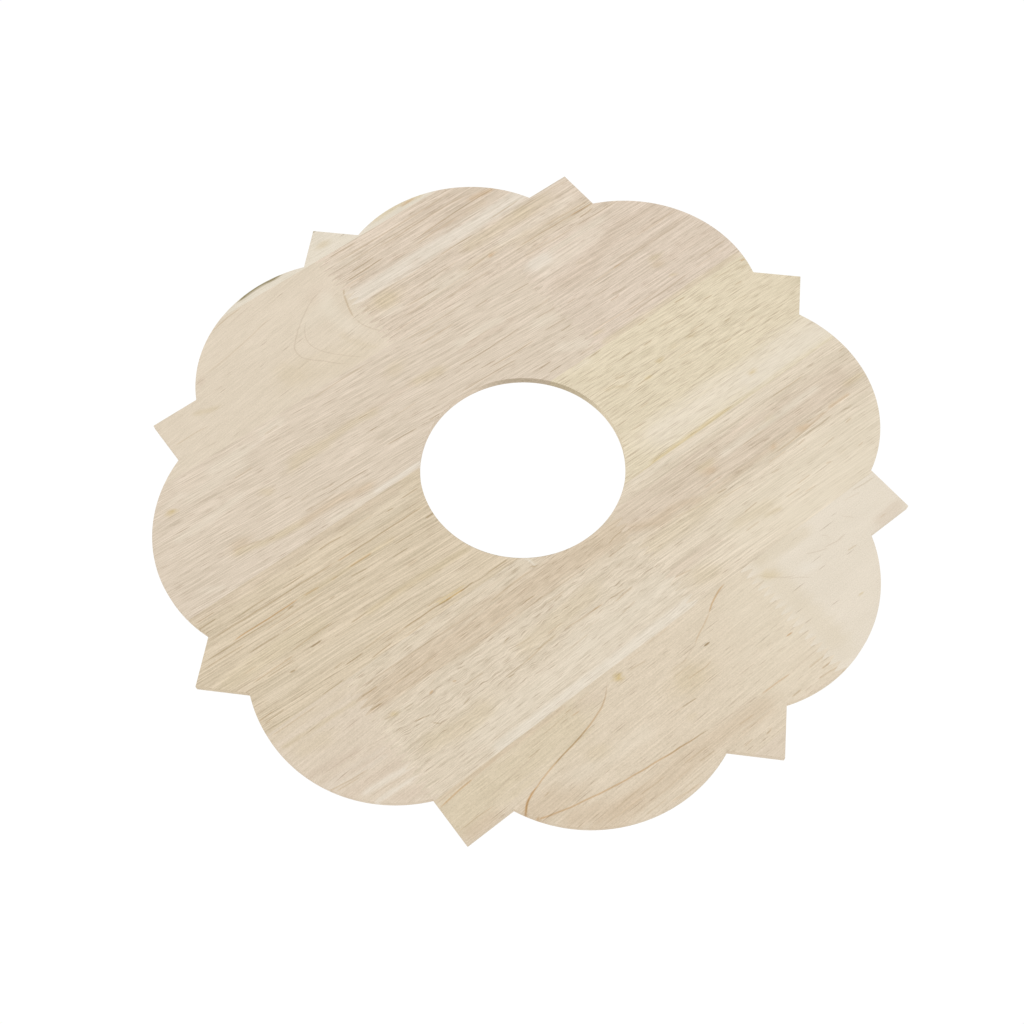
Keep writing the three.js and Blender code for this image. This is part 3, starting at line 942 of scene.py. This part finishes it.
def addStrokes(net):
    for lines in strokes.values():
        for kind, width, strength, *places in lines:
            if width > strokeLook["narrow"]:
                continue
            line = strokeLine(width, places)
            ahead = np.gradient(line, axis=0)
            ahead /= np.linalg.norm(ahead, axis=1)[:, None]
            side = np.c_[-ahead[:, 1], ahead[:, 0]]
            half = (width / 2 * taper(np.linspace(0, 1, len(line))))[:, None]
            half[0] = half[-1] = 0
            for rail in (line, line + side * half, line - side * half):
                inside = insideFace(rail, netting["strokeMargin"])
                for k in range(len(rail) - 1):
                    if inside[k] and inside[k + 1]:
                        addRun(net, rail[k:k + 2])


def addGrid(net, stepU, stepW):
    reach = rim["acrossPoints"] / 2
    stray = netting["stray"]
    chance = np.random.default_rng(netting["seed"])
    rows = int(reach / stepW) + 1
    columns = int(reach / stepU) + 1
    j, i = np.meshgrid(np.arange(-rows, rows + 1), np.arange(-columns, columns + 1), indexing="ij")
    grid = np.c_[((i + 0.5 * (j % 2)) * stepU).ravel(), (j * stepW).ravel()]
    grid += chance.uniform(-stray, stray, grid.shape) * [stepU, stepW]
    grid = grid[insideFace(grid, netting["margin"])]
    net["points"].extend((float(u), float(w)) for u, w in grid)


def triangulate(net):
    squeeze = netting["squeeze"]
    flat = [Vector((u / squeeze, w)) for u, w in net["points"]]
    result = geometry.delaunay_2d_cdt(flat, net["edges"], [], 0, 1e-5)
    verts = np.array([(v[0] * squeeze, v[1]) for v in result[0]])
    faces = np.array([tuple(f) for f in result[2]])
    a, b, c = verts[faces[:, 0]], verts[faces[:, 1]], verts[faces[:, 2]]
    area = (b[:, 0] - a[:, 0]) * (c[:, 1] - a[:, 1]) - (b[:, 1] - a[:, 1]) * (c[:, 0] - a[:, 0])
    faces[area < 0] = faces[area < 0][:, ::-1]
    faces = faces[insideFace(verts[faces].mean(axis=1), rim["easing"] * 0.97)]  # none outside the rim
    used = np.unique(faces)
    renumber = np.full(len(verts), -1)
    renumber[used] = np.arange(len(used))
    return verts[used], renumber[faces]


def boundaryEdges(faces):  # each edge with wood on its left only, and the face that owns it
    seen = {}
    for index, face in enumerate(faces.tolist()):
        for k in range(3):
            seen[(face[k], face[(k + 1) % 3])] = index
    return {edge: owner for edge, owner in seen.items() if (edge[1], edge[0]) not in seen}


def boundaryLoops(edges):
    after = {a: b for a, b in edges}
    loops = []
    while after:
        start, following = next(iter(after.items()))
        loop = [start]
        del after[start]
        while following != start:
            loop.append(following)
            following = after.pop(following)
        loops.append(loop)
    return loops


def layOutFront():
    net = {"points": [], "edges": []}
    for outline in (rimOutline(), holeOutline()):
        addRun(net, outline - outwardNormals(outline) * rim["easing"], True)
    addSeams(net)
    addStrokes(net)
    addGrid(net, *netting["front"])
    return triangulate(net)


def layOutBack(frontVerts, loops):  # coarser, from the same rim
    net = {"points": [], "edges": []}
    for loop in loops:
        addRun(net, frontVerts[loop], True)
    addSeams(net)
    addGrid(net, *netting["back"])
    return triangulate(net)


frontVerts, frontFaces = layOutFront()
frontEdges = boundaryEdges(frontFaces)
frontLoops = boundaryLoops(frontEdges)
backVerts, backFaces = layOutBack(frontVerts, frontLoops)
print("face laid out:", len(frontFaces), "and", len(backFaces), "triangles")

frontStave = staveAt(*frontVerts[frontFaces].mean(axis=1).T)
backStave = staveAt(*backVerts[backFaces].mean(axis=1).T)


def paintStave(name, points):  # colour, calm and depth of the strokes at some points of one stave
    colour = np.tile(np.array(staves[name]["tint"], float), (len(points), 1))
    figure = np.ones(len(points))
    depth = np.zeros(len(points))
    for kind, width, strength, *places in strokes.get(name, []):
        narrow = width <= strokeLook["narrow"]
        line = strokeLine(width, places) if narrow else smoothLine(places, strokeLook["wideStep"])
        reach = width if narrow else width * 1.2
        near = np.all((points > line.min(axis=0) - reach) & (points < line.max(axis=0) + reach), axis=1)
        if not near.any():
            continue
        gap, along = distanceToLine(points[near], line)
        if narrow:
            fade = np.clip(np.minimum(along, 1 - along) * strokeLook["fading"], 0, 1)
            cover = np.clip(1 - gap / (width / 2 * taper(along)), 0, 1) * fade
        else:
            length = np.linalg.norm(np.diff(line, axis=0), axis=1).sum()
            ends = min(1.0, width * strokeLook["wideEnds"] / max(length, 1))
            fade = np.clip(np.minimum(along, 1 - along) / (0.5 * ends) + strokeLook["wideEndCover"], 0, 1)
            streakU, streakW = strokeLook["wideStreak"]
            uneven = np.array([noise.noise(Vector((u / streakU, w / streakW, 2.1))) for u, w in points[near]])
            soft = strokeLook["wideSoft"] * width
            cover = np.clip((width / 2 - gap) / soft + 0.5 + 0.5 * uneven, 0, 1) * fade
            cover = cover * cover * (3 - 2 * cover)
        cover = (strokeLook["cover"] if narrow and kind != "wane" else 1) * strength * cover
        colour[near] = colour[near] * (1 - cover[:, None]) + np.array(strokeColours[kind]) * cover[:, None]
        figure[near] *= 1 - calming.get(kind, 0) * cover
        if narrow and kind in ("dark", "brown"):
            depth[near] = np.maximum(depth[near], cover * strokeLook["groove"])
    return colour, figure, depth


def toLinear(seen):
    value = np.clip(np.asarray(seen, float) / 255, 0, 1)
    return np.where(value <= 0.04045, value / 12.92, ((value + 0.055) / 1.055) ** 2.4)


def buildMedallion():
    thickness = rim["thickness"]
    r = rim["easing"]
    frontCount = len(frontVerts)
    cornerColour = np.zeros((len(frontFaces), 3, 4))
    depth = np.zeros(frontCount)
    for index, name in enumerate(staves):
        own = frontStave == index
        if not own.any():
            continue
        members = np.unique(frontFaces[own])
        colour, figure, strokeDepth = paintStave(name, frontVerts[members])
        lookup = np.full(frontCount, -1)
        lookup[members] = np.arange(len(members))
        cornerColour[own] = np.c_[colour, figure][lookup[frontFaces[own]]]
        depth[members] = np.maximum(depth[members], strokeDepth)
    waveU, waveW = panel["waveAlong"], panel["waveAcross"]
    wave = np.array([noise.noise(Vector((u / waveU, w / waveW, 1.3))) for u, w in frontVerts])
    front = -thickness + panel["waviness"] * (1 + wave) / 2 + depth

    edgeColour = {}
    for (a, b), owner in frontEdges.items():
        face = frontFaces[owner].tolist()
        edgeColour[(a, b)] = (cornerColour[owner, face.index(a)], cornerColour[owner, face.index(b)])

    coords = [np.c_[frontVerts, front], np.c_[backVerts, np.zeros(len(backVerts))]]
    total = frontCount + len(backVerts)
    polygons = frontFaces[:, ::-1].tolist() + (backFaces + frontCount).tolist()
    owners = np.r_[frontStave, backStave].tolist()
    colours = cornerColour[:, ::-1].reshape(-1, 4).tolist()
    tints = np.array([s["tint"] for s in staves.values()], float)
    meanTint = tints.mean(axis=0)
    fade = panel["backFade"]
    backTints = np.c_[meanTint * fade + tints * (1 - fade), np.ones(len(tints))]
    colours += np.repeat(backTints[backStave], 3, axis=0).tolist()

    # The rim and the hole: a softened arris at each face and a few rows down the wall.
    shadedAngle = math.radians(panel["shadedSide"])
    for loop in frontLoops:
        ring = frontVerts[loop]
        outward = outwardNormals(ring)
        facing = np.abs(outward @ [math.cos(shadedAngle), math.sin(shadedAngle)])
        shadedShare = np.clip((facing - panel["shadedFrom"]) / panel["shadedOver"], 0, 1)
        levels = []
        for k in range(1, rim["easingSteps"] + 1):
            angle = math.pi / 2 * k / rim["easingSteps"]
            level = front[loop] + r * (1 - math.cos(angle))
            levels.append(np.c_[ring + outward * r * math.sin(angle), level])
        for k in range(1, rim["wallSteps"]):
            share = k / rim["wallSteps"]
            levels.append(np.c_[ring + outward * r, (front[loop] + r) * (1 - share) - r * share])
        for k in range(rim["easingSteps"], 0, -1):
            angle = math.pi / 2 * k / rim["easingSteps"]
            level = np.full(len(loop), -r * (1 - math.cos(angle)))
            levels.append(np.c_[ring + outward * r * math.sin(angle), level])
        rows = [np.array(loop)]
        for level in levels:
            coords.append(level)
            rows.append(np.arange(total, total + len(loop)))
            total += len(loop)
        rows.append(np.array([np.linalg.norm(backVerts - p, axis=1).argmin() for p in ring]) + frontCount)
        n = len(loop)
        for i in range(n):
            a, b = loop[i], loop[(i + 1) % n]
            owner = frontStave[frontEdges[(a, b)]]
            colourA, colourB = edgeColour[(a, b)]
            # painted shade, with some darker end grain: the hole's wall is darkened on the sides facing the
            # shaded direction
            if np.linalg.norm(frontVerts[a]) < rim["holeDiameter"]:
                shadedTint = np.array([*panel["holeShadeAndEndGrain"], 1.0])
                colourA, colourB = (c * (1 - shadedShare[i] * (1 - shadedTint)) for c in (colourA, colourB))
            for upper, lower in zip(rows[:-1], rows[1:]):
                corners = (upper[i], upper[(i + 1) % n], lower[(i + 1) % n], lower[i])
                polygons.append([int(corner) for corner in corners])
                owners.append(int(owner))
                colours += [colourA.tolist(), colourB.tolist(), colourB.tolist(), colourA.tolist()]

    coords = np.concatenate(coords)
    x = coords[:, 0] * math.cos(boardTurn) - coords[:, 1] * math.sin(boardTurn)
    y = coords[:, 0] * math.sin(boardTurn) + coords[:, 1] * math.cos(boardTurn)
    mesh = bpy.data.meshes.new("medallionWood")
    mesh.from_pydata((np.c_[x, y, coords[:, 2]] * mm).tolist(), [], polygons)
    mesh.update()

    colours = np.array(colours)
    colours[:, :3] = toLinear(colours[:, :3])
    layer = mesh.attributes.new("tone", "FLOAT_COLOR", "CORNER")
    layer.data.foreach_set("color", colours.astype(np.float32).ravel())
    owners = np.array(owners)
    faceValues = {"pith": [], "shows": [], "run": []}
    for stave in staves.values():
        across, above, rise = stave["pith"]
        middle = seamOf(stave["row"]) + panel["staveWidth"] / 2
        faceValues["pith"].append((middle + across, above, rise))
        faceValues["shows"].append((stave["rings"], stave["fibres"], stave["pores"]))
        faceValues["run"].append((stave["seed"], math.tan(math.radians(stave["slope"])), stave["dashes"]))
    for name, values in faceValues.items():
        layer = mesh.attributes.new(name, "FLOAT_VECTOR", "FACE")
        layer.data.foreach_set("vector", np.array(values)[owners].astype(np.float32).ravel())
    u, w = coords[:, 0], coords[:, 1]
    near, far = swirlArea["along"]
    top, bottom = swirlArea["across"]
    swirl = np.clip((w - top) / swirlArea["fade"], 0, 1) * np.clip((bottom - w) / swirlArea["fade"], 0, 1)
    swirl *= np.clip((u - near) / swirlArea["fade"], 0, 1) * np.clip((far - u) / swirlArea["farFade"], 0, 1)
    layer = mesh.attributes.new("swirl", "FLOAT", "POINT")
    layer.data.foreach_set("value", swirl.astype(np.float32))

    mesh.polygons.foreach_set("use_smooth", np.ones(len(polygons), bool))
    mesh.set_sharp_from_angle(angle=math.radians(rim["sharpAngle"]))
    piece = bpy.data.objects.new("medallionBoard", mesh)
    bpy.context.collection.objects.link(piece)
    return piece


medallion = buildMedallion()
print("medallion built:", len(medallion.data.polygons), "faces")


def noiseValue(tree, vector, detail, roughness=0.5):
    inputs = {"Vector": vector, "Scale": 1.0, "Detail": detail, "Roughness": roughness}
    return addNode(tree, "ShaderNodeTexNoise", inputs).outputs["Fac"]


def smooth(tree, value, low, high):
    node = addNode(tree, "ShaderNodeMapRange", {"Value": value, "From Min": low, "From Max": high},
                   interpolation_type="SMOOTHSTEP")
    return node.outputs["Result"]


def mixColour(tree, share, first, second, blend="MIX"):
    node = addNode(tree, "ShaderNodeMix", data_type="RGBA", blend_type=blend)
    connect(tree, share, node.inputs[0])
    connect(tree, first, node.inputs[6])
    connect(tree, second, node.inputs[7])
    return node.outputs[2]


def makeGroup(name, inputs, outputs):
    group = bpy.data.node_groups.new(name, "ShaderNodeTree")
    for socket, kind in inputs.items():
        group.interface.new_socket(socket, in_out="INPUT", socket_type=kind)
    for socket, kind in outputs.items():
        group.interface.new_socket(socket, in_out="OUTPUT", socket_type=kind)
    return group, group.nodes.new("NodeGroupInput").outputs, group.nodes.new("NodeGroupOutput").inputs


# One tree's wood: where its rings, fibres and pores fall in board coordinates, in millimetres.
# Each pattern's scale says how often it repeats in a millimetre along, across and through the board.
grainScale = {
    "wander": (0.02, 0.05, 0.05),
    "curl": (0.16, 0.2, 0.2),
    "ringWander": (0.008, 0.03, 0.03),
    "longFibres": (0.026, 1.2, 1.2),
    "shortFibres": (0.08, 1.25, 1.25),
    "fuzz": (1.1, 1.25, 1.25),
    "streaks": (0.012, 0.2, 0.2),
    "cloud": (0.012, 0.05, 0.05),
}
grainSize = {
    "wander": 1.6,  # how far the fibres stray sideways
    "curl": 2.4,  # the same in the wavy wood near a knot
    "ringWander": 14.0,
    "ringPitch": 0.22,  # rings in a millimetre
    "pores": ((26.0, 0.9, 0.0), (13.0, 0.75, 40.0)),  # length, width and shift of two kinds
    "poreReach": (0.28, 0.2),  # least half width of a pore in its cell, and how much more by chance
    "poreDepth": (0.5, 0.7),
}


def makeGrainGroup():
    group, given, result = makeGroup(
        "hardwoodGrain",
        {"Place": "NodeSocketVector", "Pith": "NodeSocketVector", "Run": "NodeSocketVector",
         "Swirl": "NodeSocketFloat", "Pore Density": "NodeSocketFloat"},
        {"Rings": "NodeSocketFloat", "Fibres": "NodeSocketFloat", "Streaks": "NodeSocketFloat",
         "Cloud": "NodeSocketFloat", "Fuzz": "NodeSocketFloat", "Pores": "NodeSocketFloat"})
    board = addNode(group, "ShaderNodeSeparateXYZ", {0: given["Place"]}).outputs
    seed, slope, dashes = addNode(group, "ShaderNodeSeparateXYZ", {0: given["Run"]}).outputs
    shift = addNode(group, "ShaderNodeCombineXYZ")
    for axis, rate in enumerate((37.0, 91.0, 13.0)):  # moves every stave to another part of the pattern
        group.links.new(maths(group, "MULTIPLY", seed, rate), shift.inputs[axis])
    place = vectorMaths(group, "ADD", given["Place"], shift.outputs[0])

    def pattern(name, at, detail):
        return noiseValue(group, vectorMaths(group, "MULTIPLY", at, grainScale[name]), detail)

    # the fibres lean and wander a little, and run wavy where the wood was cut near a knot
    lean = maths(group, "MULTIPLY", maths(group, "MULTIPLY", board[0], slope), -1.0)
    wander = maths(group, "MULTIPLY_ADD", pattern("wander", place, 0.0), grainSize["wander"], lean)
    curl = maths(group, "SUBTRACT", pattern("curl", place, 0.0), 0.5)
    curl = maths(group, "MULTIPLY", curl, given["Swirl"])
    bend = maths(group, "MULTIPLY_ADD", curl, grainSize["curl"], wander)
    bent = vectorMaths(group, "ADD", place, addNode(group, "ShaderNodeCombineXYZ", {1: bend}).outputs[0])

    # rings: uneven layers round the heart of the tree
    heart = addNode(group, "ShaderNodeSeparateXYZ", {0: given["Pith"]}).outputs
    stray = grainSize["ringWander"]
    wander = maths(group, "MULTIPLY_ADD", pattern("ringWander", place, 1.0), stray, -stray / 2)
    across = maths(group, "ADD", maths(group, "SUBTRACT", board[1], heart[0]), wander)
    rise = maths(group, "MULTIPLY_ADD", board[0], heart[2], heart[1])
    height = maths(group, "ADD", rise, maths(group, "ADD", board[2], wander))
    squares = [maths(group, "POWER", side, 2.0) for side in (across, height)]
    radius = maths(group, "SQRT", maths(group, "ADD", *squares))
    rings = maths(group, "MULTIPLY", radius, grainSize["ringPitch"])
    layer = addNode(group, "ShaderNodeCombineXYZ", {0: rings, 1: seed})
    group.links.new(noiseValue(group, layer.outputs[0], 3.0, 0.6), result["Rings"])

    fibres = {0: dashes, 2: pattern("longFibres", bent, 1.0), 3: pattern("shortFibres", bent, 1.0)}
    group.links.new(addNode(group, "ShaderNodeMix", fibres).outputs[0], result["Fibres"])
    group.links.new(pattern("fuzz", bent, 0.0), result["Fuzz"])
    group.links.new(pattern("streaks", bent, 1.0), result["Streaks"])
    group.links.new(pattern("cloud", place, 1.0), result["Cloud"])

    # pores: slim vessels cut open lengthwise, so they show as short dashes
    pores = None
    for length, width, offset in grainSize["pores"]:
        moved = vectorMaths(group, "ADD", bent, (offset, offset, offset))
        cells = vectorMaths(group, "MULTIPLY", moved, (1 / length, 1 / width, 1 / width))
        voronoi = addNode(group, "ShaderNodeTexVoronoi", {"Vector": cells, "Scale": 1.0, "Randomness": 1.0})
        chance = addNode(group, "ShaderNodeSeparateColor", {0: voronoi.outputs["Color"]}).outputs
        chosen = maths(group, "LESS_THAN", chance[0], given["Pore Density"])
        least, more = grainSize["poreReach"]
        reach = maths(group, "MULTIPLY_ADD", chance[1], more, least)
        far = maths(group, "DIVIDE", voronoi.outputs["Distance"], reach)
        body = maths(group, "SUBTRACT", 1.0, far, clamp=True)
        least, more = grainSize["poreDepth"]
        body = maths(group, "MULTIPLY", maths(group, "MULTIPLY", body, chosen),
                     maths(group, "MULTIPLY_ADD", chance[2], more, least))
        pores = body if pores is None else maths(group, "MAXIMUM", pores, body)
    group.links.new(pores, result["Pores"])
    return group


woodLook = {
    "ringShade": 0.055,
    "fibreShade": 0.39,
    "fuzzShade": 0.1,
    "streakShade": 0.025,
    "cloudShade": 0.045,
    "poreShade": 0.72,
    "poreColour": (0.3, 0.19, 0.1, 1.0),
    "wallShade": (1.0, 0.98, 0.95, 1.0),
    "wallTurn": (0.9, 0.3),  # how level the surface is where that shade begins and is full
    "roughness": 0.62,
    "specular": 0.25,
    "greenSwing": 1.04,  # how much more the figure changes the green than the red
    "blueSwing": 1.25,
    "grainHeight": 0.00006,
    "grainBump": 0.25,
}


def makeWood():
    material = bpy.data.materials.new("sandedHardwood")
    material.use_nodes = True
    tree = material.node_tree
    shader = tree.nodes["Principled BSDF"]
    coordinates = addNode(tree, "ShaderNodeTexCoord")
    board = addNode(tree, "ShaderNodeMapping", {
        "Vector": coordinates.outputs["Object"],
        "Rotation": (0, 0, -boardTurn),
        "Scale": (1 / mm, 1 / mm, 1 / mm),
    })
    tone, shows, pith, run, swirl = (addNode(tree, "ShaderNodeAttribute", attribute_name=name).outputs
                                     for name in ("tone", "shows", "pith", "run", "swirl"))
    strength = addNode(tree, "ShaderNodeSeparateXYZ", {0: shows["Vector"]}).outputs
    figure = tone["Alpha"]
    grain = tree.nodes.new("ShaderNodeGroup")
    grain.node_tree = makeGrainGroup()
    values = {"Place": board.outputs[0], "Pith": pith["Vector"], "Run": run["Vector"],
              "Swirl": swirl["Fac"], "Pore Density": strength[2]}
    for socket, value in values.items():
        tree.links.new(value, grain.inputs[socket])

    def swing(value, amount, shown):  # brighter and darker about the middle
        centred = maths(tree, "SUBTRACT", value, 0.5)
        return maths(tree, "MULTIPLY", maths(tree, "MULTIPLY", centred, 2 * amount), shown)

    change = swing(grain.outputs["Rings"], woodLook["ringShade"], strength[0])
    shown = maths(tree, "MULTIPLY", strength[1], figure)
    change = maths(tree, "ADD", change, swing(grain.outputs["Fibres"], woodLook["fibreShade"], shown))
    change = maths(tree, "ADD", change, swing(grain.outputs["Streaks"], woodLook["streakShade"], shown))
    change = maths(tree, "ADD", change, swing(grain.outputs["Fuzz"], woodLook["fuzzShade"], figure))
    change = maths(tree, "ADD", change, swing(grain.outputs["Cloud"], woodLook["cloudShade"], 1.0))
    factor = maths(tree, "ADD", 1.0, change)
    green = maths(tree, "MULTIPLY_ADD", change, woodLook["greenSwing"], 1.0)
    blue = maths(tree, "MULTIPLY_ADD", change, woodLook["blueSwing"], 1.0)
    shade = addNode(tree, "ShaderNodeCombineColor", {0: factor, 1: green, 2: blue})
    colour = mixColour(tree, 1.0, tone["Color"], shade.outputs[0], "MULTIPLY")
    poreCover = maths(tree, "MULTIPLY", grain.outputs["Pores"], woodLook["poreShade"])
    poreCover = maths(tree, "MULTIPLY", poreCover, figure)
    colour = mixColour(tree, poreCover, colour, woodLook["poreColour"])

    # the upright edges are tinted a little warmer than the faces
    facing = addNode(tree, "ShaderNodeSeparateXYZ", {0: coordinates.outputs["Normal"]}).outputs
    wall = smooth(tree, maths(tree, "ABSOLUTE", facing[2]), *woodLook["wallTurn"])
    colour = mixColour(tree, wall, colour, mixColour(tree, 1.0, colour, woodLook["wallShade"], "MULTIPLY"))
    tree.links.new(colour, shader.inputs["Base Color"])
    shader.inputs["Roughness"].default_value = woodLook["roughness"]
    shader.inputs["Specular IOR Level"].default_value = woodLook["specular"]
    relief = maths(tree, "SUBTRACT", grain.outputs["Fibres"], grain.outputs["Pores"])
    bump = addNode(tree, "ShaderNodeBump", {
        "Height": relief, "Strength": woodLook["grainBump"], "Distance": woodLook["grainHeight"]})
    tree.links.new(bump.outputs["Normal"], shader.inputs["Normal"])
    return material


medallion.data.materials.append(makeWood())
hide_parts("medallion")
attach(medallion, "root")
print("wood ready")

# Light, floor and camera. The camera stands below the ceiling and looks up at the face.
setting = {
    "floorHeight": -1.6,
    "floorSize": 120.0,
    "floorColour": (0.86, 0.86, 0.85, 1.0),
    "floorRoughness": 0.9,
    "skyStrength": 0.98,
    "backdrop": 1.02,  # the sky as the camera sees it
    "faceLight": 5.4,
    "backLight": 1.6,
    "lightSize": 2.4,
    "lightDistance": 1.45,
}
view = {
    "place": (-0.0699, -0.4990, -0.8890),
    "aim": (0.0029, -0.0435, -0.0065),
    "roll": 178.15,
    "lens": 44.556,
}


def makeFloor():
    half = setting["floorSize"] / 2
    z = setting["floorHeight"]
    mesh = bpy.data.meshes.new("floor")
    corners = [(-half, -half, z), (half, -half, z), (half, half, z), (-half, half, z)]
    mesh.from_pydata(corners, [], [(0, 1, 2, 3)])
    floor = bpy.data.objects.new("floor", mesh)
    bpy.context.collection.objects.link(floor)
    material = bpy.data.materials.new("paleFloor")
    material.use_nodes = True
    shader = material.node_tree.nodes["Principled BSDF"]
    shader.inputs["Base Color"].default_value = setting["floorColour"]
    shader.inputs["Roughness"].default_value = setting["floorRoughness"]
    mesh.materials.append(material)


def makeLight(name, power, height):
    data = bpy.data.lights.new(name, "AREA")
    data.shape = "DISK"
    data.size = setting["lightSize"]
    data.energy = power
    lamp = bpy.data.objects.new(name, data)
    lamp.location = (0, 0, height)
    if height < 0:
        lamp.rotation_euler = (math.pi, 0, 0)
    lamp.visible_camera = False
    bpy.context.collection.objects.link(lamp)


def makeSky():
    world = bpy.data.worlds.new("paleStudio")
    world.use_nodes = True
    tree = world.node_tree
    ground = tree.nodes["Background"]
    ground.inputs["Color"].default_value = (1, 1, 1, 1)
    path = addNode(tree, "ShaderNodeLightPath")
    sky = setting["skyStrength"]
    seen = maths(tree, "MULTIPLY_ADD", path.outputs["Is Camera Ray"], setting["backdrop"] - sky, sky)
    tree.links.new(seen, ground.inputs["Strength"])
    bpy.context.scene.world = world


def makeCamera():
    data = bpy.data.cameras.new("camera")
    data.lens = view["lens"]
    data.sensor_width = 36
    data.clip_start = 0.02
    camera = bpy.data.objects.new("camera", data)
    place = Vector(view["place"])
    look = (Vector(view["aim"]) - place).to_track_quat("-Z", "Y")
    camera.location = place
    camera.rotation_mode = "QUATERNION"
    camera.rotation_quaternion = look @ Quaternion((0, 0, 1), math.radians(view["roll"]))
    bpy.context.collection.objects.link(camera)
    bpy.context.scene.camera = camera


makeFloor()
makeLight("faceLight", setting["faceLight"], -setting["lightDistance"])
makeLight("backLight", setting["backLight"], setting["lightDistance"])
makeSky()
makeCamera()
bpy.context.scene.view_settings.view_transform = "Standard"
print("setting ready")
